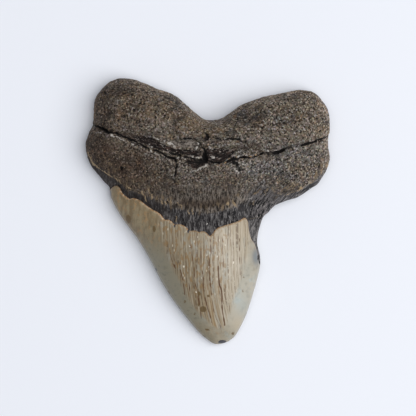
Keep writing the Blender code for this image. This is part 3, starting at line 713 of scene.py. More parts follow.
stone = (1 - ramp(down, 2.2, 2.8)) * (0.4 + 0.6 * smoothstep(rim / 4))
rough = sum(high * lumps(solid, size, seed) for seed, (high, size) in enumerate(LUMPS))
grain = 0.13 * lumps(solid, 1.2, 5) + 0.1 * lumps(solid, 0.75, 6)
strands = np.dstack([flow, y * 0.12, 0 * x])
fibre = lumps(strands, 0.9, 7) + 0.7 * lumps(strands, 1.9, 8)
ridge = lumps(np.dstack([flow, y * 0.03, 0 * x]), 0.75, 9)
splinters = lumps(np.dstack([x * 0.35, y, 0 * x]), 0.8, 13)
coarse_bone = (1 - 0.85 * charcoal) * bare
relief = stone * rough + (grain - PORE_DEPTH * pores(solid, 2.2, 0.5, 21)) * coarse_bone
relief += (FIBRE_HEIGHT * fibres + WRINKLE_HEIGHT * wrinkles) * fibre * rise
relief -= (crevice + hollow) * (0.25 + 0.75 * rise) - 0.6 * lip
relief += SPLINTER_HEIGHT * np.minimum(hollow, 1) * splinters + spots(upper, KNOBS)
relief -= (BREAK_DEPTH * strip - 0.3 * broken * lumps(solid, 1.1, 14)) * rise
shell_edge = ENAMEL_THICKNESS * quarter_round(depth_in / ENAMEL_ROUNDING)
relief += enamel * rise * (shell_edge + RIDGE_HEIGHT * middle * ridge)
print("relief from", round(float(relief.min()), 2), "to", round(float(relief.max()), 2), "mm")

# %% The relief of the lower face
LOWER_PORE_DEPTH = 0.35
lower_solid = np.dstack([lower, lower_height])
lower_stone = 1 - ramp(lower_down, 2.2, 2.8)
lower_share = (0.25 + 0.75 * smoothstep(lower_rim / 4)) * smoothstep(lower_height / 3)
lower_rough = sum(high * lumps(lower_solid, size, seed) for seed, (high, size) in enumerate(LUMPS))
lower_grain = 0.1 * lumps(lower_solid, 1.2, 5) - 0.1 - LOWER_PORE_DEPTH * pores(lower_solid, 2.4, 0.6, 21)
lower_relief = lower_stone * (lower_share * lower_rough + lower_grain)
print("lower relief to", round(float(lower_relief.max()), 2), "mm")

# %% [markdown]
# ## One closed mesh
# The upper lattice is twice as fine as the lower one, because it is the side that is looked at. Both
# share the rim's points. Along the rim, a lower face has one more corner, the finer lattice's extra point,
# so the mesh is closed with no gaps. The faces are listed as whole arrays of corner numbers.
# %% The faces
rows, columns = height.shape
top_index = np.arange(rows * columns).reshape(rows, columns)
low_index = np.full(lower_height.shape, -1)
inner = low_index[1:-1, 1:-1]
inner[:] = rows * columns + np.arange(inner.size).reshape(inner.shape)
low_index[0], low_index[-1] = top_index[0, ::2], top_index[-1, ::2]
low_index[:, 0], low_index[:, -1] = top_index[::2, 0], top_index[::2, -1]
upper_faces = np.dstack([top_index[1:, :-1], top_index[1:, 1:],
                         top_index[:-1, 1:], top_index[:-1, :-1]]).reshape(-1, 4)
low_cells = np.dstack([low_index[1:, :-1], low_index[:-1, :-1], low_index[:-1, 1:], low_index[1:, 1:]])


def rim_faces(cells, middles, side):
    """Lower faces beside the rim: the four corners, starting at the side that lies on the rim, with the
    finer lattice's point put between the first two."""
    turned = np.roll(cells, -side, axis=-1)
    return np.column_stack([turned[:, 0], middles, turned[:, 1:]])


west = rim_faces(low_cells[1:-1, 0], top_index[3:-3:2, 0], 0)
north = rim_faces(low_cells[0, 1:-1], top_index[0, 3:-3:2], 1)
east = rim_faces(low_cells[1:-1, -1], top_index[3:-3:2, -1], 2)
south = rim_faces(low_cells[-1, 1:-1], top_index[-1, 3:-3:2], 3)
north_west, north_east, south_east, south_west = (low_cells[row, end] for row, end in
                                                  ((0, 0), (0, -1), (-1, -1), (-1, 0)))
# The four corner cells lie on the rim with two sides, so each has two extra points.
corner_cells = np.array([
    [north_west[0], top_index[1, 0], north_west[1], top_index[0, 1], *north_west[2:]],
    [*north_east[:2], top_index[0, -2], north_east[2], top_index[1, -1], north_east[3]],
    [*south_east[:3], top_index[-2, -1], south_east[3], top_index[-1, -2]],
    [south_west[0], top_index[-2, 0], *south_west[1:], top_index[-1, 1]]])
face_groups = [upper_faces, low_cells[1:-1, 1:-1].reshape(-1, 4),
               np.vstack([west, north, east, south]), corner_cells]
print("faces:", [group.shape for group in face_groups])

# %% The mesh
ORIGIN = (cad_low + cad_high) / 2
top_points = solid.reshape(-1, 3)
low_points = lower_solid[1:-1, 1:-1].reshape(-1, 3)
points = np.vstack([top_points, low_points]) / 1000 + (ORIGIN.x, ORIGIN.y, cad_low.z)


def closed_mesh(name, points, groups):
    """A mesh from arrays: its points, and its faces as groups with the same number of corners each."""
    corners = np.concatenate([group.ravel() for group in groups])
    sizes = np.concatenate([np.full(len(group), group.shape[1]) for group in groups])
    mesh = bpy.data.meshes.new(name)
    mesh.vertices.add(len(points))
    mesh.vertices.foreach_set("co", points.ravel())
    mesh.loops.add(len(corners))
    mesh.loops.foreach_set("vertex_index", corners.astype(np.int32))
    mesh.polygons.add(len(sizes))
    mesh.polygons.foreach_set("loop_start", np.r_[0, np.cumsum(sizes)[:-1]].astype(np.int32))
    mesh.update(calc_edges=True)
    return mesh


mesh = closed_mesh("tooth", points, face_groups)
triangles = sum(count * (corners - 2) for count, corners in (group.shape for group in face_groups))
print("tooth mesh:", len(mesh.vertices), "points,", triangles, "triangles, valid:",
      not mesh.validate(verbose=False))


# %% Press the relief in
def both(upper_values, lower_values):
    """One array for the whole mesh from one for each lattice, whose border is the upper one's."""
    return np.concatenate([np.ravel(upper_values), np.ravel(lower_values[1:-1, 1:-1])])


normals = np.empty(len(points) * 3)
mesh.vertex_normals.foreach_get("vector", normals)
points += normals.reshape(-1, 3) * both(relief, lower_relief)[:, None] / 1000
points[:, 2] = np.maximum(points[:, 2], cad_low.z)
mesh.vertices.foreach_set("co", points.ravel())
mesh.update()
mesh.shade_smooth()
tooth = bpy.data.objects.new("fossil_tooth", mesh)
bpy.context.scene.collection.objects.link(tooth)
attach(tooth, "root")
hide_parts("tooth")
print("the tooth's box in millimetres:", [round(side * 1000, 2) for side in tooth.dimensions])

# %% [markdown]
# ## Masks for the materials
# A material can read a number stored at each point, an attribute. These carry what the formulas know, such
# as how far a point is into a crevice, and the material's own noise then breaks up their smooth borders.
# Painted textures could do this too, but they need an unwrapped surface and blur at the finest cracks.
# %% Painted shade, pale lips with a painted highlight, stains, specks, chips and a painted sheen
SHADOW_DEPTH, PALE_LIP_RISE = 1.1, 0.45
# Each stain has its place in squares, its radii in millimetres and its strength. So has each chip, without a
# strength, and the specks and flecks are places alone.
STAINS = [
    ((129.5, 218.5), (1.3, 2.0), 1.0), ((140.5, 218.6), (1.6, 1.0), 0.35), ((155.5, 228.4), (0.8, 1.6), 0.8),
    ((203.6, 307.9), (1.3, 1.1), 1.9), ((208.6, 294.5), (0.5, 0.4), 1.8), ((199.5, 292.3), (0.8, 1.0), 1.0),
    ((242.7, 276.4), (0.8, 0.7), 0.5), ((241.8, 290), (0.7, 1.1), 0.45), ((239.5, 297.7), (0.6, 0.5), 0.3),
    ((185.9, 300.5), (0.7, 0.5), 0.9), ((195.5, 312.7), (0.5, 0.4), 1.2), ((207.7, 328.6), (1.0, 0.5), 1.1),
    ((232.3, 332.7), (0.9, 0.8), 0.7), ((169.5, 292.3), (0.9, 0.9), 1.0), ((204.5, 335.9), (0.8, 0.4), 1.0),
    ((199, 303), (0.5, 0.9), 0.8)]
WHITE_SPECKS = [(207.3, 224), (190.4, 245.4), (185.4, 265.4), (181.7, 267.9), (209.2, 265.4), (196.4, 290),
                (224.3, 244.3), (207, 254.3), (217, 256.7), (231.9, 261.9)]
CHIPS = [((222.2, 341.4), (1.9, 1.0)), ((156.8, 269), (0.8, 0.7)), ((179.3, 307.2), (0.45, 0.5)),
         ((186.6, 316.8), (0.4, 0.4)), ((192.4, 324.6), (0.5, 0.4)), ((110.4, 193.4), (0.7, 1.4)),
         ((188.7, 231), (0.4, 0.9)), ((175.4, 225.6), (0.35, 0.7))]
FLECKS = [(118, 180), (121, 182), (128.7, 187.3), (131, 189), (143.3, 193.3), (146.7, 198.7), (149.3, 192),
          (153, 197), (162, 202), (166, 203.4), (169.3, 200.7), (172, 203), (178.7, 204.7), (182, 207),
          (189.3, 211.3), (193.3, 211.3), (226.9, 202.2), (228.4, 205), (234.6, 204), (234, 201.5),
          (236.5, 205.5), (253, 202.2), (264, 193), (272, 190), (177, 219)]
TAN_STROKES = [([(88, 152), (95, 165), (105, 171.5), (113, 177)], 0.5, 1),
               ([(284, 195), (291, 192.5), (300, 189)], 0.9, 0.66), ([(300, 188), (310, 181.5)], 0.9, 0.5),
               ([(310, 181.5), (318, 175), (325, 167)], 0.8, 0.42)]
# Painted shade: this mask paints the crevices and the foramen near black.
shadow = np.clip(crevice / SHADOW_DEPTH, 0, 1) + 0.55 * foramen
# Pale dust and a painted highlight on the splinters' raised lips, full where they rise this far.
dust = np.clip(lip / PALE_LIP_RISE, 0, 1)
# The torn surfaces less the ledge: dark torn bone, and painted shade under the crack's overhanging edge.
scar = np.clip(sum(cover for cover, depth in torn), 0, 1) * (1 - ledge)
stain = spots(upper, STAINS, 3) * enamel
speck = sum(spot(ragged, place, (0.3, 0.5), 3) for place in WHITE_SPECKS)
chip = sum(spot(upper, place, radii, 4) for place, radii in CHIPS)
# A painted sheen: a pale bluish grey reflection painted on the broken facet low on the right.
gloss = spot(upper, (254.6, 257), (1.9, 3.6), 3) * enamel
tan = sum(stroke(ragged, [(px - 0.5, py - 2), (px + 0.5, py + 2)], 0.42) for px, py in FLECKS)
tan = (tan + strokes(ragged, TAN_STROKES)) * bare
print("stains:", len(STAINS), " chips:", len(CHIPS), " flecks:", len(FLECKS))

# %% Brown cracks down the enamel
# Each has its points in squares, its width in millimetres and its strength.
ENAMEL_CRACKS = [
    ([(217.7, 236), (217.7, 258.6), (218.2, 268)], 0.28, 0.7),
    ([(218, 266), (218.2, 271.4), (219.1, 282.3), (221.4, 290.5), (221.8, 305.9), (223.6, 317.7),
      (224.5, 324)], 0.34, 1.15),
    ([(221.8, 236), (221.8, 245), (222.7, 260.5), (222.4, 271)], 0.28, 0.7),
    ([(226.8, 240), (227.3, 262), (227.7, 278.6), (228.2, 293.2), (230.2, 303)], 0.26, 0.55),
    ([(209.6, 237), (210.9, 251.4), (209.3, 259.5), (209.5, 273.2), (210.5, 282.3), (211.8, 293.2)],
     0.42, 0.75),
    ([(201, 246), (201.8, 265.9), (203.6, 276.8), (203.6, 285), (204.5, 290.5)], 0.34, 0.8),
    ([(205.3, 296), (208.2, 307.7), (210, 313.2), (211.8, 321.6)], 0.32, 0.85),
    ([(212.7, 300), (213.6, 309.5), (216.4, 317.7), (220, 324.1), (221.6, 333)], 0.32, 0.65),
    ([(198.4, 295), (200, 303.6)], 0.4, 1.0),
    ([(191, 240), (191.8, 249.5), (194.5, 265.9), (195.9, 282.3), (198.4, 292)], 0.3, 0.75),
    ([(189.6, 282), (191.8, 296.8), (193.8, 306.6)], 0.3, 0.8),
    ([(181.4, 268), (184.5, 283.2), (185.7, 294)], 0.28, 0.8),
    ([(170.6, 240), (171.8, 255), (176, 267)], 0.28, 0.6),
    ([(173.4, 232), (175, 256.8), (176.6, 268)], 0.28, 0.6),
    ([(200.8, 309), (201.9, 318)], 0.28, 0.6),
    ([(231.8, 236), (232.3, 260.5), (232.6, 276)], 0.26, 0.55),
    ([(238.2, 238), (238.6, 258.6), (239.2, 274.8)], 0.28, 0.7),
    ([(235.3, 258), (235.5, 288)], 0.26, 0.5),
    ([(181.2, 230), (181.9, 243)], 0.3, 0.6),
    ([(185, 246), (187, 262), (189, 274)], 0.28, 0.5),
    ([(242.6, 236), (243, 262)], 0.26, 0.4),
    ([(197.2, 233), (197.8, 250), (198.6, 262)], 0.26, 0.5),
    ([(206.2, 236), (205.6, 254), (206.4, 272), (208, 288)], 0.26, 0.45),
    ([(214, 240), (213.8, 262), (215, 284), (217.4, 300)], 0.26, 0.4),
]
beads = 0.66 + 0.34 * lumps(np.dstack([flow, y, 0 * x]), 1.4, 16)
crack_lines = strokes(upper, ENAMEL_CRACKS) * beads * enamel
print("brown cracks:", len(ENAMEL_CRACKS))

# %% Store them on the mesh
# Those that both faces have are pairs, and all others are 0 on the lower face.
round_rim = 1 - 0.55 * smoothstep(lower_rim / 8)
MASKS = {"flow": (flow, lower_flow), "lobe_flow": (lobe_flow(upper_plan), lower[..., 1]),
         "crack_flow": (below_crack * SQUARE, lower[..., 1]),
         "charcoal": (charcoal, ramp(lower_down, 1.6, 2.4) * (lower_down < 3)),
         "rubbed": (rubbed, 0.6 * bell(lower_rim, 2.4)),
         "olive": (olive, olive[::2, ::2] * round_rim), "browned": (browned, browned[::2, ::2] * round_rim)}
UPPER_MASKS = dict(
    above_crack=above_crack, flecks=flecks, ash=ash, fibres=fibres * bare, wrinkles=wrinkles,
    shaded_side_and_dark_patches=shaded_side_and_dark_patches, cool=cool, near_crack=near_crack, lighter=lighter, russet=russet, slate=slate,
    cold_bone=cold_bone, rusted=rusted, speckled=speckled, band_left=band_left, tan=tan, shadow=shadow,
    dust=dust, scar=scar, ledge=ledge, ochre=ochre, broken=strip, edge_line=edge_line, middle=middle,
    pale_side=pale_side, golden=golden, tinted=tinted, bluish=bluish, creamy=creamy, rusty=rusty,
    stain=stain, speck=speck, chip=chip, gloss=gloss, crack_lines=crack_lines)
MASKS.update({name: (values, 0 * lower_down) for name, values in UPPER_MASKS.items()})
for name, (on_top, below) in MASKS.items():
    attribute = mesh.attributes.new(name, "FLOAT", "POINT")
    attribute.data.foreach_set("value", both(on_top, below).astype(np.float32))
print("masks:", ", ".join(MASKS))

# %% Which faces are enamel
# Bone is the first material and enamel the second, and the faces come in the order of their groups. Of the
# four corner cells, the two at the root are bone and the two at the tip enamel.
cell_enamel = (down[:-1, 0] >= 3)[:, None] & ~broken[1:, 1:] & ~broken[:-1, :-1]
low_enamel = np.repeat((lower_down[:-1, :1] >= 3), lower_down.shape[1] - 1, axis=1)
rim_enamel = np.concatenate([low_enamel[1:-1, 0], low_enamel[0, 1:-1], low_enamel[1:-1, -1],
                             low_enamel[-1, 1:-1], [False, False, True, True]])
slots = np.concatenate([cell_enamel.ravel(), low_enamel[1:-1, 1:-1].ravel(), rim_enamel])
mesh.polygons.foreach_set("material_index", slots.astype(np.int32))
print("faces of enamel:", int(slots.sum()), "of", len(slots))

# %% [markdown]
# ## Materials from small sentences
# A node material reads best when each step is one line. These helpers add a node, link what is given and
# hand back its output, so a finish is written like a recipe: start with this pigment, lay that one over it
# where a noise or a mask is high. A share is a number, an output, or the name of a mask stored on the mesh,
# and where a line gives several, they are multiplied.
# %% Pigments
def pigment(red, green, blue):
    """A colour given on the 0 to 255 scale of a screen, as the linear values that shaders use."""
    share = np.array([red, green, blue]) / 255
    return (*np.where(share < 0.04045, share / 12.92, ((share + 0.055) / 1.055)**2.4), 1.0)


print("a middle grey as a pigment:", np.round(pigment(128, 128, 128), 3))


# %% The bench
class Bench:
    """A node material under construction, and its first tools: values, masks and arithmetic."""

    def __init__(self, name):
        self.material = bpy.data.materials.new(name)
        self.material.use_nodes = True
        self.nodes, self.links = self.material.node_tree.nodes, self.material.node_tree.links
        self.shader = self.nodes["Principled BSDF"]
        self.place = self.nodes.new("ShaderNodeTexCoord").outputs["Object"]

    def put(self, value, socket):
        """Links an output to a socket, or sets it to a value or to a pigment given as three numbers."""
        if isinstance(value, bpy.types.NodeSocket):
            self.links.new(value, socket)
        elif isinstance(value, tuple) and len(value) == 3:
            socket.default_value = pigment(*value)
        else:
            socket.default_value = value

    def mask(self, name):
        """The value of an attribute stored on the mesh."""
        node = self.nodes.new("ShaderNodeAttribute")
        node.attribute_name = name
        return node.outputs["Fac"]

    def math(self, operation, a, b=0.5):
        """One step of arithmetic, such as ADD or MULTIPLY."""
        node = self.nodes.new("ShaderNodeMath")
        node.operation = operation
        self.put(a, node.inputs[0])
        self.put(b, node.inputs[1])
        return node.outputs[0]

    def product(self, shares):
        """Shares multiplied together: numbers, outputs, or the names of stored masks."""
        values = [self.mask(share) if isinstance(share, str) else share for share in shares]
        return functools.reduce(lambda a, b: self.math("MULTIPLY", a, b), values)


print("first tools:", [tool for tool in vars(Bench) if not tool.startswith("_")])


# %% Patterns
class Patterns(Bench):
    """The tools that make patterns: noises, cells, patches, worn borders and strands."""

    def noise(self, size, detail=3.0, roughness=0.6, place=None, distortion=0.0):
        """Fractal noise from 0 to 1 whose largest lumps have this size in millimetres."""
        node = self.nodes.new("ShaderNodeTexNoise")
        self.put(self.place if place is None else place, node.inputs["Vector"])
        for socket, value in (("Scale", 1000 / size), ("Detail", detail), ("Roughness", roughness),
                              ("Distortion", distortion)):
            node.inputs[socket].default_value = value
        return node.outputs["Fac"]

    def cells(self, size, place=None):
        """The distance to the nearest of many scattered points, 0 at each, in shares of their spacing."""
        node = self.nodes.new("ShaderNodeTexVoronoi")
        self.put(self.place if place is None else place, node.inputs["Vector"])
        node.inputs["Scale"].default_value = 1000 / size
        return node.outputs["Distance"]

    def step(self, value, low, high):
        """0 where the value is at low, 1 where it is at high, smooth between; low may be the larger."""
        node = self.nodes.new("ShaderNodeMapRange")
        node.interpolation_type = "SMOOTHSTEP"
        self.put(value, node.inputs["Value"])
        node.inputs["From Min"].default_value = low
        node.inputs["From Max"].default_value = high
        return node.outputs["Result"]

    def patches(self, size, low, high, detail=3.0, roughness=0.6, place=None, distortion=0.0):
        """A noise of this size stepped from low to high, which leaves separate patches."""
        return self.step(self.noise(size, detail, roughness, place, distortion), low, high)

    def worn(self, name, low, high, share=1.1):
        """A stored mask with a crisp, ragged border: this share of a fine noise is added before the step."""
        ragged = self.math("MULTIPLY", self.math("SUBTRACT", self.noise(0.65, 4, 0.8), 0.5), share)
        return self.step(self.math("ADD", self.mask(name), ragged), low, high)

    def strands(self, along, flow="flow", axis="Y"):
        """A place whose first number is a flow and whose second runs along it, squeezed to this share, so
        that a noise on it makes strands that follow the flow."""
        split = self.nodes.new("ShaderNodeSeparateXYZ")
        self.links.new(self.place, split.inputs[0])
        join = self.nodes.new("ShaderNodeCombineXYZ")
        self.links.new(self.math("MULTIPLY", self.mask(flow), 0.001), join.inputs[0])
        self.links.new(self.math("MULTIPLY", split.outputs[axis], along), join.inputs[1])
        return join.outputs[0]


print("tools for patterns:", [tool for tool in vars(Patterns) if not tool.startswith("_")])


# %% Layers and the shader
class Recipe(Patterns):
    """The whole bench: with layers of colour, bent normals and the finish."""

    def mix(self, share, a, b, kind="MIX"):
        """From colour a where the share is 0 to colour b where it is 1."""
        node = self.nodes.new("ShaderNodeMix")
        node.data_type, node.blend_type = "RGBA", kind
        for socket, value in ((0, share), (6, a), (7, b)):
            self.put(value, node.inputs[socket])
        return node.outputs[2]

    def over(self, ground, layer, *shares):
        """A layer laid over a ground by the product of the shares."""
        return self.mix(self.product(shares), ground, layer)

    def tinted(self, ground, tint, *shares):
        """A ground multiplied by a tint, by the product of the shares. A tint of more than 1 lightens."""
        return self.mix(self.product(shares), ground, tint, "MULTIPLY")

    def bump(self, height, depth, normal=None):
        """A normal bent by a height from 0 to 1 that stands for this many millimetres."""
        node = self.nodes.new("ShaderNodeBump")
        self.put(height, node.inputs["Height"])
        node.inputs["Distance"].default_value = depth / 1000
        node.inputs["Strength"].default_value = 1.0
        if normal is not None:
            self.links.new(normal, node.inputs["Normal"])
        return node.outputs["Normal"]

    def finish(self, colour, roughness, shine=0.5, normal=None):
        """Hands the colour, the roughness, the shine and a bent normal to the shader."""
        self.put(colour, self.shader.inputs["Base Color"])
        self.shader.inputs["Roughness"].default_value = roughness
        self.shader.inputs["Specular IOR Level"].default_value = shine
        if normal is not None:
            self.links.new(normal, self.shader.inputs["Normal"])


print("tools for layers:", [tool for tool in vars(Recipe) if not tool.startswith("_")])

# %% [markdown]
# ## The root's finish
# Fossil root is porous bone stained by iron and manganese: a dark brown ground, speckled with tan, grey and
# cream grains and black pores. Towards the crown it turns to smooth charcoal with paler upright fibres, and
# flecks of tan bone cling along the border. The cracks and the foramen are painted near black, as painted
# shade in them; the torn bone in the hollow is dark, partly as painted shade under the crack's overhanging
# edge; and the raised lips beside the cracks are pale with dust and a painted highlight. An image of bone
# could be laid on, but noise worked out in the material has no seams and stays sharp close up. Each layer is
# laid over the
# one before, so the order matters: stains first, grains and pores on top.
# %% The ground and its stains
root = Recipe("fossil_root")
lobe_strands = root.strands(0.3, "lobe_flow", "X")
bone = root.mix(root.patches(5, 0.35, 0.65, 4), (80, 70, 61), (114, 105, 95))
bone = root.over(bone, (97, 92, 87), root.patches(9, 0.50, 0.66))
bone = root.over(bone, (114, 94, 70), root.patches(7, 0.54, 0.74, distortion=1.0))
bone = root.over(bone, (82, 78, 76), "cool", 0.6)
bone = root.over(bone, (58, 50, 45), root.patches(3.5, 0.52, 0.66, place=lobe_strands), "above_crack", 0.6)
bone = root.over(bone, (132, 127, 121), "ash", root.patches(1.6, 0.46, 0.60, roughness=0.7))
bone = root.over(bone, (122, 110, 96), "lighter", 0.5)
print("after the stains:", len(root.nodes), "nodes")

# %% Its grains and tints
# These tints are factors for red, green and blue, and an unused fourth.
WARM, COLD = (1.04, 0.97, 0.87, 1), (0.96, 0.99, 1.04, 1)
ROSE, MOSS = (1.04, 0.96, 0.99, 1), (0.97, 1.03, 0.98, 1)
DUSTY_COLD = (0.94, 1.0, 1.08, 1)
grains = root.mix(root.patches(2.4, 0.44, 0.56), (161, 156, 152), (166, 152, 134))
bone = root.over(bone, grains, root.patches(0.85, 0.51, 0.63, 2, 0.5))
bone = root.over(bone, (20, 16, 14), root.patches(0.9, 0.49, 0.38, 2, 0.5, distortion=0.6))
bone = root.tinted(bone, (250, 244, 232), root.patches(5.5, 0.40, 0.60, 4, 0.65, distortion=0.8))
bone = root.tinted(bone, (206, 209, 214), root.patches(4.0, 0.50, 0.60, 4, 0.65))
bone = root.over(bone, (140, 117, 84), "ochre", root.patches(1.6, 0.36, 0.60), 0.55)
bone = root.tinted(bone, (246, 218, 200), "russet", root.patches(2.6, 0.38, 0.56), 0.8)
bone = root.tinted(bone, DUSTY_COLD, "cold_bone")
bone = root.tinted(bone, (150, 154, 164), "slate", root.patches(1.8, 0.36, 0.56), 0.8)
bone = root.over(bone, (182, 178, 173), "speckled", root.patches(0.75, 0.55, 0.63, 2, 0.5), 0.7)
bone = root.over(bone, (24, 19, 17), "speckled", root.patches(1.5, 0.46, 0.36, distortion=0.5), 0.75)
bone = root.tinted(bone, root.mix(root.patches(0.9, 0.42, 0.58), WARM, COLD), 1.0)
bone = root.tinted(bone, root.mix(root.patches(1.3, 0.42, 0.58), ROSE, MOSS), 1.0)
bone = root.over(bone, (190, 181, 166), root.step(root.cells(2.9), 0.12, 0.05))
bone = root.over(bone, (14, 11, 10), root.step(root.cells(4.3), 0.10, 0.06))
print("after the grains:", len(root.nodes), "nodes")

# %% Neck, fibres and flecks
strand = root.noise(0.85, 4, 0.72, root.strands(0.2))
fine_strand = root.noise(0.66, 3, 0.7, root.strands(0.2))
neck = root.mix(root.patches(3.5, 0.42, 0.62, place=root.strands(0.5)), (24, 23, 26), (52, 50, 51))
neck = root.over(neck, (112, 109, 108), root.step(strand, 0.48, 0.62))
neck = root.over(neck, (140, 137, 136), root.step(fine_strand, 0.55, 0.66))
neck = root.over(neck, (190, 188, 184), root.step(root.cells(3.6, root.strands(0.8)), 0.075, 0.04))
fibrous = root.mix(root.step(fine_strand, 0.45, 0.56), (17, 14, 13), (134, 126, 118))
wrinkled = root.mix(root.patches(0.8, 0.46, 0.54, 4, 0.8, root.strands(0.16)), (9, 9, 12), (98, 94, 94))
wrinkled = root.over(wrinkled, (146, 141, 137), root.patches(0.5, 0.56, 0.64, 3, 0.7, root.strands(0.3)))
surface = root.over(bone, fibrous, "fibres", 0.85)
# Painted shade on the left side, away from the window light, and above the crack's overhanging edge, together
# with darker patches of bone: a tint here, and a dark brown laid over two lines down.
surface = root.tinted(surface, (212, 202, 193), "shaded_side_and_dark_patches")
surface = root.over(surface, neck, "charcoal")
surface = root.over(surface, (48, 38, 31), "shaded_side_and_dark_patches", 0.4)
surface = root.over(surface, (42, 37, 35), "band_left", 0.6)
surface = root.over(surface, wrinkled, "wrinkles")
fleck_patches = root.patches(1.6, 0.54, 0.64, place=root.strands(0.35))
surface = root.over(surface, (118, 101, 80), "flecks", fleck_patches)
surface = root.over(surface, (152, 132, 104), root.worn("tan", 0.55, 1.0, 2.2))
surface = root.over(surface, (190, 186, 180), root.step(root.mask("speck"), 0.3, 0.9))
break_patches = root.patches(1.1, 0.40, 0.60, 3, 0.65, root.strands(0.12))
surface = root.over(surface, (138, 134, 132), "broken", break_patches)
print("after the neck:", len(root.nodes), "nodes")

# %% Torn bone with painted shade, painted shade in the cracks, and pale lips with a painted highlight
# The rim is rubbed pale, by a tint of more than 1.
RUBBED_GAIN = (1.75, 1.72, 1.70, 1)


def along_crack(size, low, high, detail, roughness, squeeze):
    """Patches drawn out along the crack, whose flow is the height above or below it."""
    place = root.strands(squeeze, "crack_flow", "X")
    return root.patches(size, low, high, detail, roughness, place)


# Dark torn bone, partly painted shade in the hollow under the crack's overhanging edge.
torn_bone_and_shade = root.mix(along_crack(0.8, 0.47, 0.66, 4, 0.75, 0.3), (18, 12, 11), (72, 55, 48))
torn_bone_and_shade = root.over(torn_bone_and_shade, (172, 161, 151), along_crack(0.6, 0.64, 0.71, 2, 0.6, 0.5))
ledge_bone = root.mix(root.patches(1.0, 0.4, 0.6), (72, 63, 57), (138, 129, 120))
surface = root.over(surface, ledge_bone, "ledge")
surface = root.over(surface, torn_bone_and_shade, root.worn("scar", 0.3, 0.5))
surface = root.over(surface, (166, 157, 148), along_crack(0.9, 0.56, 0.63, 4, 0.75, 0.3), "near_crack", 0.5)
surface = root.over(surface, (15, 11, 10), along_crack(1.4, 0.48, 0.40, 4, 0.75, 0.22), "near_crack", 0.9)
surface = root.over(surface, (166, 136, 102), "rusted", along_crack(0.8, 0.53, 0.61, 2, 0.5, 0.6))
surface = root.tinted(surface, RUBBED_GAIN, "rubbed")
# The raised lips: pale dust and a painted highlight.
surface = root.over(surface, (180, 174, 167), root.worn("dust", 0.5, 0.9, 2.8))
# Painted shade: the crevices and the foramen near black.
surface = root.over(surface, (12, 9, 8), root.worn("shadow", 0.36, 0.62, 1.8))
coarse = root.bump(root.noise(1.0, 4, 0.65), 0.7)
root.finish(surface, 0.8, 0.25, root.bump(strand, 0.25, coarse))
print("root:", len(root.nodes), "nodes")

# %% [markdown]
# ## The enamel's finish
# The enamel is a hard, smooth shell. Its flanks are plain grey-green, browner on the left and near the torn
# edge, and its middle is warmer, with fine long lines where it has crazed and taken up iron. A fine line
# lies where a wave across the flow peaks, and a noise pushes the wave about, so that the lines are nearly
# parallel but never quite even. A Wave Texture would give stripes as well, but only straight ones, and these
# follow the flow. The main cracks are drawn on top, with pale specks beside them.
# %% The flanks
coat = Recipe("fossil_enamel")
streaks = coat.noise(2.0, 3, 0.6, coat.strands(0.3))
brown = coat.mix(coat.step(streaks, 0.35, 0.65), (120, 102, 74), (148, 134, 106))
shell = coat.mix(coat.patches(14, 0.4, 0.6), (167, 164, 151), (178, 171, 155))
shell = coat.over(shell, (170, 174, 167), coat.patches(7, 0.52, 0.66))
shell = coat.over(shell, (137, 131, 112), "olive")
shell = coat.over(shell, (112, 112, 104), coat.patches(2.4, 0.5, 0.7), 0.3)
shell = coat.over(shell, (170, 177, 173), "bluish")
shell = coat.over(shell, (184, 171, 148), "creamy")
shell = coat.over(shell, brown, "browned", 0.85)
mottle = coat.patches(1.5, 0.53, 0.64, place=coat.strands(0.6))
shell = coat.over(shell, (156, 126, 88), "browned", mottle, 0.7)
shell = coat.over(shell, (104, 98, 80), "olive", coat.patches(1.5, 0.55, 0.68), 0.45)
print("after the flanks:", len(coat.nodes), "nodes")

# %% The warm middle and its fine lines
# The wave repeats 0.72 times in a millimetre, and the noise pushes it along by up to four waves.
WAVE_RATE, WAVE_PUSH = 0.72, 4.0
finer = coat.noise(0.8, 2, 0.6, coat.strands(0.08))
finer_share = coat.step(finer, 0.38, 0.62)
warm = coat.mix(finer_share, (128, 114, 90), (147, 134, 111))
warm = coat.over(warm, coat.mix(finer_share, (165, 153, 132), (181, 171, 153)), "pale_side")
warm = coat.over(warm, (151, 148, 136), coat.patches(3.2, 0.52, 0.64, place=coat.strands(0.3)), 0.7)
warm = coat.over(warm, (152, 130, 98), "tinted", 0.3)
gold_streaks = coat.patches(1.6, 0.42, 0.56, 2, 0.5, coat.strands(0.08))
warm = coat.over(warm, (148, 122, 84), "golden", gold_streaks, 0.8)
push = coat.math("MULTIPLY", coat.noise(3, 3, 0.6, coat.strands(0.05)), WAVE_PUSH)
wave = coat.math("ADD", coat.math("MULTIPLY", coat.mask("flow"), WAVE_RATE), push)
wave = coat.math("PINGPONG", wave, 0.5)
warm = coat.over(warm, (196, 187, 168), coat.step(wave, 0.12, 0.04), 0.36)
warm = coat.over(warm, (96, 76, 54), coat.step(wave, 0.38, 0.46), coat.patches(1.5, 0.34, 0.52, 2), 0.74)
rust_patches = coat.patches(1.1, 0.53, 0.62, 2, 0.5, coat.strands(0.35))
warm = coat.over(warm, (136, 108, 70), "rusty", rust_patches, 0.75)
in_middle = coat.math("ADD", coat.mask("middle"), coat.math("MULTIPLY", streaks, 0.6))
shell = coat.over(shell, warm, coat.step(in_middle, 0.45, 0.95))
print("after the middle:", len(coat.nodes), "nodes")

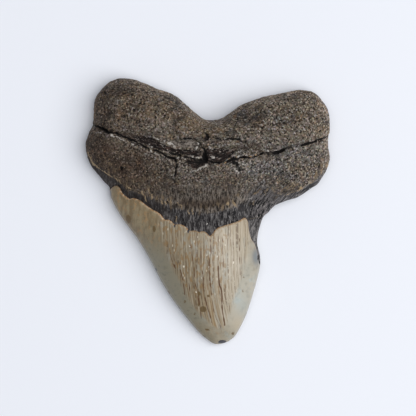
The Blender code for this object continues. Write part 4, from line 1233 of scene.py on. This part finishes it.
# %% Cracks, specks, stains, the edge and a painted sheen
edge_colour = coat.mix(coat.patches(0.9, 0.46, 0.56, 2), (164, 122, 82), (206, 180, 150))
pale_specks = coat.step(coat.cells(1.7, coat.strands(0.35)), 0.16, 0.08)
shell = coat.over(shell, (92, 63, 37), coat.step(coat.mask("crack_lines"), 0.2, 0.56))
shell = coat.over(shell, (206, 197, 176), "rusty", pale_specks, 0.8)
shell = coat.over(shell, (216, 208, 190), coat.worn("speck", 0.4, 0.8, 1.4))
shell = coat.over(shell, (98, 78, 46), coat.worn("stain", 0.25, 0.6, 1.0), 0.9)
shell = coat.over(shell, edge_colour, "edge_line", coat.patches(1.3, 0.32, 0.48))
# The painted sheen on the broken facet.
shell = coat.over(shell, (124, 128, 129), "gloss")
shell = coat.over(shell, (56, 56, 62), coat.worn("chip", 0.3, 0.6, 0.8))
coat.finish(shell, 0.42, 0.5, coat.bump(finer, 0.05))
print("enamel:", len(coat.nodes), "nodes")

# %% Put both on the tooth
mesh.materials.append(root.material)
mesh.materials.append(coat.material)
print("materials:", [material.name for material in mesh.materials])

# %% [markdown]
# ## Table, light and camera
# The tooth lies on a plain pale table. One broad, soft light stands on the right, so the shadow is faint and
# falls to the left. A weak one hangs overhead and fills the root's hollows, and a pale room lights the rest.
# A backdrop that curves up would hide the table's end, but the camera looks straight down and never sees it.
# %% The table
TABLE_SIDE, TABLE_GAP = 4, 0.0001
bpy.ops.mesh.primitive_plane_add(size=TABLE_SIDE, location=(0, 0, cad_low.z - TABLE_GAP))
table = bpy.context.object
table.name = "table"
paper = Recipe("pale_table")
paper.finish((237, 240, 247), 0.9)
table.data.materials.append(paper.material)
print("the table lies at", round(table.location.z * 1000, 2), "mm")

# %% The light
# Places and sides in metres, and powers in watts.
WINDOW_PLACE, WINDOW_SIDE, WINDOW_POWER = (1.0, -0.05, 1.5), 1.9, 31
CEILING_PLACE, CEILING_SIDE, CEILING_POWER = (-0.25, 0.1, 1.6), 1.0, 4.0
ROOM_COLOUR, ROOM_STRENGTH = (0.93, 0.95, 1.0, 1), 0.3
world = bpy.data.worlds.new("pale_room")
world.use_nodes = True
world.node_tree.nodes["Background"].inputs["Color"].default_value = ROOM_COLOUR
world.node_tree.nodes["Background"].inputs["Strength"].default_value = ROOM_STRENGTH
bpy.context.scene.world = world


def soft_light(name, place, side, power):
    """A square area light at a place, turned towards the tooth."""
    lamp = bpy.data.lights.new(name, "AREA")
    lamp.size, lamp.energy = side, power
    holder = bpy.data.objects.new(name, lamp)
    holder.location = place
    holder.rotation_euler = (-Vector(place)).to_track_quat("-Z", "Y").to_euler()
    bpy.context.scene.collection.objects.link(holder)
    return holder


window = soft_light("window", WINDOW_PLACE, WINDOW_SIDE, WINDOW_POWER)
ceiling = soft_light("ceiling", CEILING_PLACE, CEILING_SIDE, CEILING_POWER)
for light in (window, ceiling):
    print("the", light.name, "light is", round(light.location.length, 2), "m away")

# %% The camera
# The frame is as wide as so many squares of the plan, at the height of the tooth's rim.
FRAME_SQUARES = 416
LENS_DISTANCE = 1.0
RIM_HEIGHT = 0.006
SENSOR = 36
camera_data = bpy.data.cameras.new("camera")
camera_data.sensor_width = SENSOR
camera_data.lens = SENSOR * LENS_DISTANCE * 1000 / (FRAME_SQUARES * SQUARE)
camera = bpy.data.objects.new("camera", camera_data)
middle_of_frame = millimetres((FRAME_SQUARES / 2, FRAME_SQUARES / 2)) / 1000
camera.location = (*middle_of_frame, LENS_DISTANCE + RIM_HEIGHT)
bpy.context.scene.collection.objects.link(camera)
bpy.context.scene.camera = camera
bpy.context.scene.view_settings.view_transform = "Standard"
print("lens:", round(camera_data.lens, 1), "mm")
